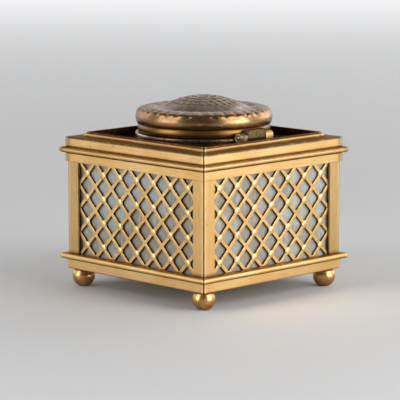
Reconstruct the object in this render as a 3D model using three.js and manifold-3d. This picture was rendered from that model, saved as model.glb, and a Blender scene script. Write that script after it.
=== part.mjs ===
// A square desk inkstand: a gilt brass box on four ball feet, with a diamond trellis grille over
// coloured glass in each side, and a round domed lid, hinged at the back, over a glass ink pot.
// Millimetres, +Z up, the origin on the desk under the centre of the box. The front faces -Y.

import * as THREE from 'three';
import { mergeVertices } from 'three/addons/utils/BufferGeometryUtils.js';
import Module from 'manifold-3d';

const wasm = await Module();
wasm.setup();

// Clearances and cuts
const SEAT_GAP = 0.15; // between pieces that seat on each other
const CORNER_GAP = 0.5; // between the ends of plates that meet in a corner
const RUNNING_GAP = 0.05; // all round the hinge pin
const SWING_GAP = 0.35; // round the hinge barrel, where the lid or the collar is cut away
const OVERRUN = 2; // how far a cut runs past what it cuts

// Lid: its widest radius drives the plan of the whole box
const LID_RADIUS = 33.9; // rolled side
const LID_HEIGHT = 17.6; // rim to top of the dome
const LID_WALL = 1.1;
const LID_RIM_INSET = 1.2; // rim inside the rolled side
const LID_ROLL_LEVEL = 7.2; // widest level above the rim
const LID_ROLL_DEPTH = 3.2; // how far the roll swells out
const LID_ROLL_UPPER = 4.6; // height of the roll above its widest level
const LID_ROLL_LOWER = 5.6; // the same below it, down to where the rim cuts it off
const LID_CREST_RADIUS = 27;
const LID_CREST_RISE = 0.7; // crest above the top of the roll
const LID_VALLEY_RADIUS = 20.6;
const LID_VALLEY_DROP = 0.75; // valley below the crest
const LID_DOME_RADIUS = 18.4;
const LID_DOME_RISE = 4.0; // top of the dome above its edge
const LID_GAP = 0.3; // rim above the collar

// Top of the box
const HINGE_ROOM = 6.2; // from the lid's side to the moulding
const MOULDING_WIDTH = 2.15;
const MOULDING_RISE = 2.3; // above the cornice
const MOULDING_ROUND = 0.7; // outer roll
const MOULDING_ROLL_WIDTH = 1.1;
const MOULDING_ROLL_RISE = 1.45; // above the cornice
const MOULDING_LIP_ROUND = 0.35; // inner lip, which stands higher
const RECESS_DEPTH = 3.7; // moulding's top to top plate
const TOP_RIM_WIDTH = 6.2; // flat of the cornice outside the moulding
const TOP_PLATE_THICKNESS = 1;
const TOP_PLATE_BORDER = 1.2; // plain metal inside the moulding
const TOP_PANE_THICKNESS = 1.5;
const TOP_TRELLIS_PITCH = 9.6;
const TOP_TRELLIS_BAR = 1.3;
const TOP_TRELLIS_START = 10; // openings start this far from the middle of each side

// Cornice
const CORNICE_STEP = 0.9; // cornice in front of the posts
const CORNICE_BAND_HEIGHT = 4.5;
const CORNICE_BEAD_HEIGHT = 2.8;
const CORNICE_COVE_HEIGHT = 1.4;
const CORNICE_COVE_DEPTH = 0.3;
const CORNICE_TOP_HEIGHT = 3.65;
const CORNICE_EDGE_ROUND = 0.9;
const CORNICE_LEDGE_WIDTH = 3.5; // carries the top glass
const CORNICE_LEDGE_THICKNESS = 2;
const BEAD_PROJECTION = 3.3; // beads in front of the posts

// Walls
const OPENING_HEIGHT = 46.1; // between base and cornice
const POST_WIDTH = 7.3; // of each leg
const POST_WALL = 1.2;
const POST_ROUND = 0.5;
const GRILLE_THICKNESS = 1.2;
const GRILLE_REVEAL = 0.8; // openwork that runs on behind the posts, base and cornice
const TRELLIS_PITCH = 11.8;
const TRELLIS_BAR = 1.7;
const BOSS_RADIUS = 1.9;
const PANE_THICKNESS = 1.6;
const WALL_REBATE = 2; // grilles and panes go this far into base and cornice
const LEDGE_LIP = 0.4; // ledge runs in past the panes

// Base and feet
const BASE_STEP = 0.4; // base band in front of the posts
const BASE_BAND_HEIGHT = 4.95;
const BASE_BEAD_HEIGHT = 2.8;
const BASE_CHAMFER = 0.35;
const FLOOR_THICKNESS = 1.2;
const FLOOR_REBATE = 2.1; // floor plate runs out this far under the base ledge
const FOOT_RADIUS = 5.6;
const FOOT_FLAT_RADIUS = 2.6; // underneath
const FOOT_SEAT_RADIUS = 4.1; // against the base
const FOOT_INSET = 5.3; // foot's centre inside the face of a post
const STUD_RADIUS = 1.6;
const STUD_THREAD = 3; // length of the stud in its lug
const LUG_WALL = 2.2; // metal round a stud
const LUG_ROOF = 0.6; // metal over a stud

// Pane clips
const CLIP_WIDTH = 6;
const CLIP_THICKNESS = 0.5;
const CLIP_SPACING = 44;
const CLIP_FOOT_HEIGHT = 3.4; // soldered to the base
const CLIP_REACH = 5; // from the base ledge up to where the clip bears on the pane
const CLIP_TAIL = 3; // lifted end above that
const CLIP_TAIL_LIFT = 0.7;

// Top screws
const SCREW_RADIUS = 0.75;
const SCREW_CLEARANCE = 0.12;
const SCREW_HEAD_RADIUS = 1.4;
const SCREW_HEAD_HEIGHT = 0.9;
const SCREW_GRIP = 1.7; // length in the moulding

// Collar and its nut
const COLLAR_RISE = 4.1; // top of the collar above the plate
const COLLAR_FLANGE_THICKNESS = 1.8;
const COLLAR_FLANGE_ROUND = 0.55;
const COLLAR_SHOULDER = 0.6; // shoulder that sits on the plate
const COLLAR_WALL = 2.4;
const COLLAR_SEAT_DEPTH = 2.4; // pot's brim sits this far below the top
const COLLAR_SEAT_WIDTH = 2.6;
const COLLAR_SEAT_THICKNESS = 1.8;
const COLLAR_TAIL = 0.5; // neck below the nut
const NUT_WIDTH = 3;
const NUT_GAP = 0.6; // nut to top glass

// Glass ink pot
const POT_DEPTH = 42; // brim to underside
const POT_WALL = 3;
const POT_BASE = 4.5;
const POT_BRIM_THICKNESS = 3;
const POT_BRIM_WIDTH = 4; // flat of the brim round the funnel
const POT_BRIM_GAP = 0.4; // loose in the collar
const POT_BODY_GAP = 0.6;
const POT_ROUND = 2;
const POT_MOUTH_RADIUS = 15;
const POT_FUNNEL_DEPTH = 4.2;
const POT_THROAT = 2; // depth of the mouth under the funnel
const POT_SHOULDER = 3.4; // height of the shoulder inside

// Hinge
const PIN_RADIUS = 1;
const KNUCKLE_WALL = 1.25;
const HINGE_LENGTH = 22.6;
const CENTRE_KNUCKLE = 12.4;
const HINGE_SETBACK = 0.4; // axis outside the lid's side
const LEAF_THICKNESS = 1.1;
const LEAF_WEB = 1.3;
const LEAF_SCREW_RADIUS = 0.75;
const LEAF_SCREW_HEAD = 1.3;
const LEAF_SCREW_LENGTH = 0.8;
const LEAF_SCREW_HEAD_HEIGHT = 0.5;
const TONGUE_THICKNESS = 1.05;
const TONGUE_HEIGHT = 3.7;

// Facets
const ROUND_STEPS = 32;
const POT_STEPS = 24;
const LID_DOME_STEPS = 3;
const FOOT_STEPS = 14;
const SMALL_STEPS = 12;
const SCREW_STEPS = 8;
const BARREL_STEPS = 16;

// Plan, from the lid outwards
const recessHalf = LID_RADIUS + HINGE_ROOM;
const mouldingHalf = recessHalf + MOULDING_WIDTH;
const topRimInner = mouldingHalf + SEAT_GAP;
const corniceHalf = topRimInner + TOP_RIM_WIDTH;
const postHalf = corniceHalf - CORNICE_STEP;
const baseHalf = postHalf + BASE_STEP;
const beadHalf = postHalf + BEAD_PROJECTION;
const openingHalf = postHalf - POST_WIDTH;
const grilleFront = postHalf - POST_WALL - SEAT_GAP;
const grilleBack = grilleFront - GRILLE_THICKNESS;
const paneFront = grilleBack - SEAT_GAP;
const paneBack = paneFront - PANE_THICKNESS;
const rebateHalf = grilleFront + SEAT_GAP;
const ledgeInner = paneBack - LEDGE_LIP;
const footCentre = postHalf - FOOT_INSET;
const corniceLedgeInner = topRimInner - CORNICE_LEDGE_WIDTH;
const screwCentre = (recessHalf + mouldingHalf) / 2;

// Levels, from the desk up
const ballCentre = Math.sqrt(FOOT_RADIUS ** 2 - FOOT_FLAT_RADIUS ** 2);
const footHeight = ballCentre + Math.sqrt(FOOT_RADIUS ** 2 - FOOT_SEAT_RADIUS ** 2);
const floorTop = footHeight + SEAT_GAP + FLOOR_THICKNESS;
const baseUnderside = floorTop + SEAT_GAP;
const baseBandTop = footHeight + BASE_BAND_HEIGHT;
const openingBottom = baseBandTop + BASE_BEAD_HEIGHT;
const baseLedge = openingBottom - WALL_REBATE;
const openingTop = openingBottom + OPENING_HEIGHT;
const corniceStop = openingTop + WALL_REBATE;
const corniceBandTop = openingTop + CORNICE_BAND_HEIGHT;
const corniceBeadTop = corniceBandTop + CORNICE_BEAD_HEIGHT;
const corniceCoveTop = corniceBeadTop + CORNICE_COVE_HEIGHT;
const corniceTop = corniceCoveTop + CORNICE_TOP_HEIGHT;
const mouldingTop = corniceTop + MOULDING_RISE;
const plateTop = mouldingTop - RECESS_DEPTH;
const plateBottom = plateTop - TOP_PLATE_THICKNESS;
const topPaneTop = plateBottom - SEAT_GAP;
const topPaneBottom = topPaneTop - TOP_PANE_THICKNESS;
const corniceLedgeTop = topPaneBottom - SEAT_GAP;
const corniceLedgeBottom = corniceLedgeTop - CORNICE_LEDGE_THICKNESS;
const collarTop = plateTop + COLLAR_RISE;
const lidBottom = collarTop + LID_GAP;

// Radii of the lid's rim, the collar, its nut and the pot
const rimRadius = LID_RADIUS - LID_RIM_INSET;
const collarNeckRadius = rimRadius - COLLAR_SHOULDER;
const collarBore = collarNeckRadius - COLLAR_WALL;
const collarSeatBore = collarBore - COLLAR_SEAT_WIDTH;
const nutBore = collarNeckRadius + SEAT_GAP;
const nutRadius = nutBore + NUT_WIDTH;
const topPaneArc = nutRadius + NUT_GAP;
const brimRadius = collarBore - POT_BRIM_GAP;
const potRadius = collarSeatBore - POT_BODY_GAP;

// Hinge axis
const hingeY = LID_RADIUS + HINGE_SETBACK;
const hingeZ = lidBottom;
const pinBore = PIN_RADIUS + RUNNING_GAP;
const barrelRadius = pinBore + KNUCKLE_WALL;

// Materials
const metal = (color, roughness) => new THREE.MeshStandardMaterial({ color, roughness, metalness: 1 });
const glass = (color, roughness) => new THREE.MeshStandardMaterial({
  color, roughness, metalness: 0, transparent: true, opacity: 0.6,
});
const gilt = metal(0xc79f5a, 0.34);
const footBrass = metal(0xb08a4e, 0.22);
const bronze = metal(0x8d6a44, 0.3);
const innerBrass = metal(0x8a6b3c, 0.5);
const hingeBrass = metal(0x9a7c4e, 0.45);
const steel = metal(0x8b8578, 0.4);
const opalGlass = glass(0xa9b0ae, 0.3);
const clearGlass = glass(0xdfe8e6, 0.05);

const inkstand = new THREE.Group();

// Booleans
function solid(geometry) {
  const bare = geometry.clone();
  bare.deleteAttribute('normal');
  bare.deleteAttribute('uv');
  const merged = mergeVertices(bare);
  return new wasm.Manifold(new wasm.Mesh({
    numProp: 3,
    vertProperties: new Float32Array(merged.attributes.position.array),
    triVerts: new Uint32Array(merged.index.array),
  }));
}

function geometryOf(manifold) {
  const mesh = manifold.getMesh();
  const geometry = new THREE.BufferGeometry();
  geometry.setAttribute('position', new THREE.BufferAttribute(new Float32Array(mesh.vertProperties), 3));
  geometry.setIndex(new THREE.BufferAttribute(new Uint32Array(mesh.triVerts), 1));
  geometry.computeVertexNormals();
  return geometry;
}

function joined(...geometries) {
  return geometryOf(geometries.map(solid).reduce((whole, piece) => whole.add(piece)));
}

function cutFrom(geometry, ...tools) {
  return geometryOf(tools.map(solid).reduce((whole, tool) => whole.subtract(tool), solid(geometry)));
}

function common(geometry, other) {
  return geometryOf(solid(geometry).intersect(solid(other)));
}

function add(name, geometry, material, parent = inkstand) {
  const mesh = new THREE.Mesh(geometry, material);
  mesh.name = name;
  parent.add(mesh);
  return mesh;
}

// Profiles: lists of [distance from the axis, height], anticlockwise, outside going up
function arc(centreR, centreZ, radiusR, radiusZ, fromDegrees, toDegrees, steps) {
  return Array.from({ length: steps + 1 }, (_, i) => {
    const angle = THREE.MathUtils.degToRad(fromDegrees + ((toDegrees - fromDegrees) * i) / steps);
    return [centreR + radiusR * Math.cos(angle), centreZ + radiusZ * Math.sin(angle)];
  });
}

function turned(profile, steps) {
  const points = profile.map(([r, z]) => new THREE.Vector2(r, z));
  return new THREE.LatheGeometry(points, steps).rotateX(Math.PI / 2);
}

function ringProfile(profile) {
  return [...profile, profile[0]];
}

// A mitred square frame is a lathe of four steps, whose corners lie on the diagonals
function mitredFrame(profile) {
  const points = ringProfile(profile).map(([half, z]) => new THREE.Vector2(half * Math.SQRT2, z));
  return new THREE.LatheGeometry(points, 4, Math.PI / 4).rotateX(Math.PI / 2);
}

function extruded(shape, height, steps = SMALL_STEPS) {
  return new THREE.ExtrudeGeometry(shape, { depth: height, bevelEnabled: false, curveSegments: steps });
}

function rod(radius, fromZ, toZ, steps = SMALL_STEPS) {
  const height = toZ - fromZ;
  return new THREE.CylinderGeometry(radius, radius, height, steps)
    .rotateX(Math.PI / 2).translate(0, 0, fromZ + height / 2);
}

function block(fromX, toX, fromY, toY, fromZ, toZ) {
  return new THREE.BoxGeometry(toX - fromX, toY - fromY, toZ - fromZ)
    .translate((fromX + toX) / 2, (fromY + toY) / 2, (fromZ + toZ) / 2);
}

function square(half) {
  const corners = [[-half, -half], [half, -half], [half, half], [-half, half]];
  return new THREE.Shape(corners.map(([x, y]) => new THREE.Vector2(x, y)));
}

// The four sides and corners: groups turned by quarter turns from the front and front left
const quarterTurns = [0, 1, 2, 3].map((turn) => (turn * Math.PI) / 2);
const sideNames = ['front', 'right', 'back', 'left'];
const cornerNames = ['front_left', 'front_right', 'back_right', 'back_left'];

function turnedGroups() {
  return quarterTurns.map((angle) => {
    const group = new THREE.Group();
    group.rotation.z = angle;
    inkstand.add(group);
    return group;
  });
}

const sides = turnedGroups();
const corners = turnedGroups();

function atCorners(distance, geometry) {
  return [[-1, -1], [1, -1], [1, 1], [-1, 1]].map(([x, y]) => (
    geometry.clone().translate(x * distance, y * distance, 0)
  ));
}

// Openings of a diamond trellis whose lattice starts at [0, 0]; each opening lies on the middle of a
// lattice line. A boss of bossRadius, if any, stands in the middle of each cell, where bars cross.
function trellisOpenings(width, height, pitch, bar, bossRadius = 0) {
  const columns = Math.max(1, Math.round(width / pitch));
  const rows = Math.max(1, Math.round(height / pitch));
  const halfX = width / columns / 2;
  const halfY = height / rows / 2;
  const diagonal = Math.hypot(halfX, halfY);
  const inset = 1 - ((bar / 2) * diagonal) / (halfX * halfY);
  const alongBar = bossRadius ? Math.sqrt(bossRadius ** 2 - (bar / 2) ** 2) : 0;
  const directions = [[1, 0], [0, 1], [-1, 0], [0, -1]];

  function opening(centreX, centreY, bossesAboveAndBelow) {
    const centre = new THREE.Vector2(centreX, centreY);
    const tips = directions.map(([x, y]) => new THREE.Vector2(centreX + x * halfX, centreY + y * halfY));
    const outside = (tip) => (
      tip.x < -halfX / 2 || tip.x > width + halfX / 2 || tip.y < -halfY / 2 || tip.y > height + halfY / 2
    );
    return tips.flatMap((tip, i) => {
      if (outside(tip)) return [];
      const hasBoss = bossRadius > 0 && (i % 2 === 1) === bossesAboveAndBelow;
      if (!hasBoss) return [centre.clone().lerp(tip, inset)];
      return [tips[(i + 3) % 4], tips[(i + 1) % 4]].map((next) => {
        const along = next.clone().sub(tip).normalize();
        const towards = new THREE.Vector2(-along.y, along.x);
        if (towards.dot(centre.clone().sub(tip)) < 0) towards.negate();
        return tip.clone().addScaledVector(along, alongBar).addScaledVector(towards, bar / 2);
      });
    });
  }

  const openings = [];
  for (let column = 0; column <= columns; column += 1) {
    for (let row = 0; row <= rows; row += 1) {
      const x = column * 2 * halfX;
      const y = row * 2 * halfY;
      if (column < columns) openings.push(opening(x + halfX, y, true));
      if (row < rows) openings.push(opening(x, y + halfY, false));
    }
  }
  return openings;
}

// Base: a mitred band under a bead, with a ledge for the walls and a tapped lug in each corner
const beadRound = BASE_BEAD_HEIGHT / 2;
const baseProfile = [
  [baseHalf - BASE_CHAMFER, footHeight],
  [baseHalf, footHeight + BASE_CHAMFER],
  [baseHalf, baseBandTop],
  ...arc(beadHalf - beadRound, baseBandTop + beadRound, beadRound, beadRound, -90, 90, 5),
  [rebateHalf, openingBottom],
  [rebateHalf, baseLedge],
  [ledgeInner, baseLedge],
  [ledgeInner, baseUnderside],
  [ledgeInner + FLOOR_REBATE, baseUnderside],
  [ledgeInner + FLOOR_REBATE, footHeight],
];
const studHole = STUD_RADIUS + SEAT_GAP;
const studTop = baseUnderside + STUD_THREAD;
const lugInner = footCentre - studHole - LUG_WALL;
const lug = block(lugInner, ledgeInner + SEAT_GAP, lugInner, ledgeInner + SEAT_GAP, baseUnderside,
  Math.max(baseLedge, studTop + LUG_ROOF));
const lugs = quarterTurns.map((angle) => lug.clone().rotateZ(angle));
const studHoles = atCorners(footCentre, rod(studHole, footHeight - OVERRUN, studTop + SEAT_GAP));
add('base_frame', cutFrom(joined(mitredFrame(baseProfile), ...lugs), ...studHoles), gilt);

// Floor plate, clamped under the base by the feet
const floorHalf = ledgeInner + FLOOR_REBATE - SEAT_GAP;
const floorBlank = extruded(square(floorHalf), FLOOR_THICKNESS).translate(0, 0, footHeight + SEAT_GAP);
add('floor_plate', cutFrom(floorBlank, ...studHoles), innerBrass);

// Feet: balls cut flat above and below, each with a stud
const [flatAngle, seatAngle] = [FOOT_FLAT_RADIUS, FOOT_SEAT_RADIUS].map((radius) => (
  THREE.MathUtils.radToDeg(Math.acos(radius / FOOT_RADIUS))
));
const footProfile = [
  [0, 0],
  ...arc(0, ballCentre, FOOT_RADIUS, FOOT_RADIUS, -flatAngle, seatAngle, 6),
  [STUD_RADIUS, footHeight],
  [STUD_RADIUS, studTop],
  [0, studTop],
];
corners.forEach((corner, i) => {
  const foot = add(`foot_${cornerNames[i]}`, turned(footProfile, FOOT_STEPS), footBrass, corner);
  foot.position.set(-footCentre, -footCentre, 0);
});

// Corner posts: angles with a rounded outer corner
function postShape() {
  const shape = new THREE.Shape();
  shape.moveTo(-postHalf + POST_ROUND, -postHalf);
  shape.lineTo(-openingHalf, -postHalf);
  shape.lineTo(-openingHalf, -postHalf + POST_WALL);
  shape.lineTo(-postHalf + POST_WALL, -postHalf + POST_WALL);
  shape.lineTo(-postHalf + POST_WALL, -openingHalf);
  shape.lineTo(-postHalf, -openingHalf);
  shape.lineTo(-postHalf, -postHalf + POST_ROUND);
  shape.absarc(-postHalf + POST_ROUND, -postHalf + POST_ROUND, POST_ROUND, Math.PI, Math.PI * 1.5, false);
  return shape;
}

corners.forEach((corner, i) => {
  const post = extruded(postShape(), OPENING_HEIGHT - 2 * SEAT_GAP, 3);
  add(`corner_post_${cornerNames[i]}`, post, gilt, corner).position.z = openingBottom + SEAT_GAP;
});

// Walls: a grille and a pane in each side, held by two bent clips
const wallBottom = baseLedge + SEAT_GAP;
const wallTop = corniceStop - SEAT_GAP;
const grilleHalf = grilleBack - CORNER_GAP;
const fieldHalf = openingHalf + GRILLE_REVEAL;
const fieldBottom = openingBottom - GRILLE_REVEAL;
const fieldHeight = OPENING_HEIGHT + 2 * GRILLE_REVEAL;

function upright(shape, thickness, frontY) {
  return extruded(shape, thickness).rotateX(Math.PI / 2).translate(0, -frontY + thickness, 0);
}

function wallShape(half) {
  const corners4 = [[-half, wallBottom], [half, wallBottom], [half, wallTop], [-half, wallTop]];
  return new THREE.Shape(corners4.map(([x, z]) => new THREE.Vector2(x, z)));
}

function openingShapes(openings, shiftX, shiftY) {
  return openings.map((points) => new THREE.Shape(
    points.map((p) => new THREE.Vector2(p.x + shiftX, p.y + shiftY)),
  ));
}

function grilleGeometry() {
  const openings = trellisOpenings(2 * fieldHalf, fieldHeight, TRELLIS_PITCH, TRELLIS_BAR, BOSS_RADIUS);
  const cutters = upright(openingShapes(openings, -fieldHalf, fieldBottom),
    GRILLE_THICKNESS + 2 * OVERRUN, grilleFront + OVERRUN);
  return cutFrom(upright(wallShape(grilleHalf), GRILLE_THICKNESS, grilleFront), cutters);
}

const clipSeat = ledgeInner - SEAT_GAP;
const clipBottom = baseLedge - CLIP_FOOT_HEIGHT;
const clipBend = baseLedge + LEDGE_LIP;
const clipTouch = baseLedge + CLIP_REACH;
const clipOuter = [
  [clipSeat, clipBottom],
  [clipSeat, clipBend],
  [paneBack - SEAT_GAP, clipTouch],
  [paneBack - SEAT_GAP - CLIP_TAIL_LIFT, clipTouch + CLIP_TAIL],
];
const clipInner = clipOuter.map(([r, z]) => [r - CLIP_THICKNESS, z]).reverse();

function clipGeometry() {
  const shape = new THREE.Shape([...clipOuter, ...clipInner].map(([r, z]) => new THREE.Vector2(r, z)));
  return extruded(shape, CLIP_WIDTH).rotateX(Math.PI / 2).rotateZ(-Math.PI / 2);
}

sides.forEach((side, i) => {
  const name = sideNames[i];
  add(`grille_${name}`, grilleGeometry(), gilt, side);
  const pane = upright(wallShape(paneBack - CORNER_GAP), PANE_THICKNESS, paneFront);
  add(`side_pane_${name}`, pane, opalGlass, side);
  [-CLIP_SPACING / 2, CLIP_SPACING / 2].forEach((x, k) => {
    add(`pane_clip_${name}_${k + 1}`, clipGeometry(), innerBrass, side).position.x = x + CLIP_WIDTH / 2;
  });
});

// Cornice: band, bead, cove and top band, with a stop for the walls and a ledge for the top glass
const corniceBeadRound = CORNICE_BEAD_HEIGHT / 2;
const corniceProfile = [
  [corniceHalf, openingTop],
  [corniceHalf, corniceBandTop],
  ...arc(beadHalf - corniceBeadRound, corniceBandTop + corniceBeadRound, corniceBeadRound, corniceBeadRound,
    -90, 90, 5),
  ...arc(corniceHalf, (corniceBeadTop + corniceCoveTop) / 2, CORNICE_COVE_DEPTH, CORNICE_COVE_HEIGHT / 2,
    -90, -270, 4),
  ...arc(corniceHalf - CORNICE_EDGE_ROUND, corniceTop - CORNICE_EDGE_ROUND, CORNICE_EDGE_ROUND,
    CORNICE_EDGE_ROUND, 0, 90, 3),
  [topRimInner, corniceTop],
  [topRimInner, corniceLedgeTop],
  [corniceLedgeInner, corniceLedgeTop],
  [corniceLedgeInner, corniceLedgeBottom],
  [ledgeInner, corniceLedgeBottom],
  [ledgeInner, corniceStop],
  [rebateHalf, corniceStop],
  [rebateHalf, openingTop],
];
const screwHoleRadius = SCREW_RADIUS + SCREW_CLEARANCE;
const ledgeHoles = atCorners(screwCentre,
  rod(screwHoleRadius, corniceLedgeBottom - OVERRUN, corniceLedgeTop + OVERRUN, SCREW_STEPS));
add('cornice_frame', cutFrom(mitredFrame(corniceProfile), ...ledgeHoles), gilt);

// Top moulding, standing on the plate and drawn down by the top screws
const mouldingBottom = plateTop + SEAT_GAP;
const screwTop = mouldingBottom + SCREW_GRIP;
const rollRise = corniceTop + MOULDING_ROLL_RISE;
const lipHalf = mouldingHalf - MOULDING_ROLL_WIDTH;
const lipCentre = mouldingTop - MOULDING_LIP_ROUND;
const mouldingProfile = [
  [mouldingHalf, mouldingBottom],
  ...arc(mouldingHalf - MOULDING_ROUND, rollRise - MOULDING_ROUND, MOULDING_ROUND, MOULDING_ROUND,
    0, 90, 4),
  [lipHalf, rollRise],
  ...arc(lipHalf - MOULDING_LIP_ROUND, lipCentre, MOULDING_LIP_ROUND, MOULDING_LIP_ROUND, 0, 90, 2),
  ...arc(recessHalf + MOULDING_LIP_ROUND, lipCentre, MOULDING_LIP_ROUND, MOULDING_LIP_ROUND,
    90, 180, 2),
  [recessHalf, mouldingBottom],
];
const mouldingHoles = atCorners(screwCentre,
  rod(screwHoleRadius, mouldingBottom - OVERRUN, screwTop + SEAT_GAP, SCREW_STEPS));
add('top_moulding', cutFrom(mitredFrame(mouldingProfile), ...mouldingHoles), gilt);

// Top plate: pierced in its four corners, with a round hole for the collar
function topPlateGeometry() {
  const blank = extruded(square(mouldingHalf), TOP_PLATE_THICKNESS).translate(0, 0, plateBottom);
  const hole = rod(collarNeckRadius + SEAT_GAP, plateBottom - OVERRUN, plateTop + OVERRUN, ROUND_STEPS);
  const screwHoles = atCorners(screwCentre,
    rod(screwHoleRadius, plateBottom - OVERRUN, plateTop + OVERRUN, SCREW_STEPS));
  const fieldSize = recessHalf - TOP_PLATE_BORDER;
  const fieldArc = nutRadius + TOP_PLATE_BORDER;
  const field = cutFrom(
    extruded(square(fieldSize), TOP_PLATE_THICKNESS + 2 * OVERRUN).translate(0, 0, plateBottom - OVERRUN),
    rod(fieldArc, plateBottom - 2 * OVERRUN, plateTop + 2 * OVERRUN, ROUND_STEPS),
  );
  const inCorner = ([x, y]) => (
    Math.min(Math.abs(x), Math.abs(y)) > TOP_TRELLIS_START && Math.hypot(x, y) > fieldArc
  );
  const openings = trellisOpenings(2 * fieldSize, 2 * fieldSize, TOP_TRELLIS_PITCH, TOP_TRELLIS_BAR)
    .filter((points) => {
      const middle = points.reduce((sum, p) => sum.add(p), new THREE.Vector2()).divideScalar(points.length);
      return inCorner([middle.x - fieldSize, middle.y - fieldSize]);
    });
  const cutters = extruded(openingShapes(openings, -fieldSize, -fieldSize), TOP_PLATE_THICKNESS + OVERRUN)
    .translate(0, 0, plateBottom - OVERRUN / 2);
  return cutFrom(blank, hole, ...screwHoles, common(cutters, field));
}
add('top_plate', topPlateGeometry(), gilt);

// Top glass: one piece in each quarter, hollowed round the nut and cut across the corner
function topPaneShape() {
  const half = mouldingHalf - SEAT_GAP;
  const cornerCut = 2 * (half - screwCentre) + 2 * SCREW_RADIUS + SEAT_GAP;
  const edge = -SEAT_GAP;
  const arcAngle = Math.asin(-edge / topPaneArc);
  const shape = new THREE.Shape();
  shape.moveTo(-half, edge);
  shape.lineTo(-half, -half + cornerCut);
  shape.lineTo(-half + cornerCut, -half);
  shape.lineTo(edge, -half);
  shape.absarc(0, 0, topPaneArc, Math.PI * 1.5 - arcAngle, Math.PI + arcAngle, true);
  return shape;
}

corners.forEach((corner, i) => {
  const pane = add(`top_pane_${cornerNames[i]}`, extruded(topPaneShape(), TOP_PANE_THICKNESS, SCREW_STEPS),
    opalGlass, corner);
  pane.position.z = topPaneBottom;
});

// Top screws, up through the cornice ledge and the plate into the moulding
const screwSeat = corniceLedgeBottom - SEAT_GAP;
const screwProfile = [
  [0, screwSeat - SCREW_HEAD_HEIGHT],
  [SCREW_HEAD_RADIUS, screwSeat - SCREW_HEAD_HEIGHT],
  [SCREW_HEAD_RADIUS, screwSeat],
  [SCREW_RADIUS, screwSeat],
  [SCREW_RADIUS, screwTop],
  [0, screwTop],
];
corners.forEach((corner, i) => {
  const screw = add(`top_screw_${cornerNames[i]}`, turned(screwProfile, SCREW_STEPS), steel, corner);
  screw.position.set(-screwCentre, -screwCentre, 0);
});

// Collar: a neck through the plate, with a flange under the lid and a seat for the pot
const flangeBottom = collarTop - COLLAR_FLANGE_THICKNESS;
const collarSeat = collarTop - COLLAR_SEAT_DEPTH;
const nutTop = plateBottom - SEAT_GAP;
const nutBottom = topPaneBottom;
const collarBottom = nutBottom - COLLAR_TAIL;
const flangeMiddle = collarTop - COLLAR_FLANGE_ROUND;
const collarProfile = [
  [collarNeckRadius, collarBottom],
  [collarNeckRadius, plateTop + SEAT_GAP],
  [rimRadius, plateTop + SEAT_GAP],
  [rimRadius, flangeBottom],
  ...arc(LID_RADIUS - COLLAR_FLANGE_ROUND, flangeBottom + COLLAR_FLANGE_ROUND, COLLAR_FLANGE_ROUND,
    COLLAR_FLANGE_ROUND, -90, 0, 1),
  ...arc(LID_RADIUS - COLLAR_FLANGE_ROUND, flangeMiddle, COLLAR_FLANGE_ROUND, COLLAR_FLANGE_ROUND, 0, 90, 2),
  [collarBore, collarTop],
  [collarBore, collarSeat],
  [collarSeatBore, collarSeat],
  [collarSeatBore, collarSeat - COLLAR_SEAT_THICKNESS],
  [collarBore, collarSeat - COLLAR_SEAT_THICKNESS],
  [collarBore, collarBottom],
];
const hingeHalf = HINGE_LENGTH / 2;
const notchHalf = hingeHalf + SWING_GAP;
const notchFront = hingeY - barrelRadius - SWING_GAP;
const collarNotch = block(-notchHalf, notchHalf, notchFront, hingeY + OVERRUN, flangeBottom,
  collarTop + OVERRUN);
add('collar_ring', cutFrom(turned(ringProfile(collarProfile), ROUND_STEPS), collarNotch), hingeBrass);

const nutProfile = [
  [nutRadius, nutBottom],
  [nutRadius, nutTop],
  [nutBore, nutTop],
  [nutBore, nutBottom],
];
add('collar_nut', turned(ringProfile(nutProfile), ROUND_STEPS), innerBrass);

// Glass ink pot, hung by its brim, with a funnel down to the mouth
const brimBottom = collarSeat + SEAT_GAP;
const brimTop = brimBottom + POT_BRIM_THICKNESS;
const potBottom = brimBottom - POT_DEPTH;
const potBore = potRadius - POT_WALL;
const funnelBottom = brimTop - POT_FUNNEL_DEPTH;
const throatBottom = funnelBottom - POT_THROAT;
const potFloor = potBottom + POT_BASE;
const potProfile = [
  [0, potBottom],
  ...arc(potRadius - POT_ROUND, potBottom + POT_ROUND, POT_ROUND, POT_ROUND, -90, 0, 1),
  [potRadius, brimBottom],
  [brimRadius, brimBottom],
  [brimRadius, brimTop],
  [brimRadius - POT_BRIM_WIDTH, brimTop],
  [POT_MOUTH_RADIUS, funnelBottom],
  [POT_MOUTH_RADIUS, throatBottom],
  ...arc(potBore - POT_SHOULDER, throatBottom - POT_SHOULDER, POT_SHOULDER, POT_SHOULDER, 90, 0, 2),
  ...arc(potBore - POT_ROUND, potFloor + POT_ROUND, POT_ROUND, POT_ROUND, 0, -90, 1),
  [0, potFloor],
];
add('glass_ink_pot', turned(potProfile, POT_STEPS), clearGlass);

// Lid: a spun shell with a rolled side, a crest, a valley and a dome
const rollCentre = LID_RADIUS - LID_ROLL_DEPTH;
const rollLevel = lidBottom + LID_ROLL_LEVEL;
const rollTop = rollLevel + LID_ROLL_UPPER;
const crestTop = rollTop + LID_CREST_RISE;
const domeTop = lidBottom + LID_HEIGHT;
const rimAngle = THREE.MathUtils.radToDeg(Math.acos((rimRadius - rollCentre) / LID_ROLL_DEPTH));

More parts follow.
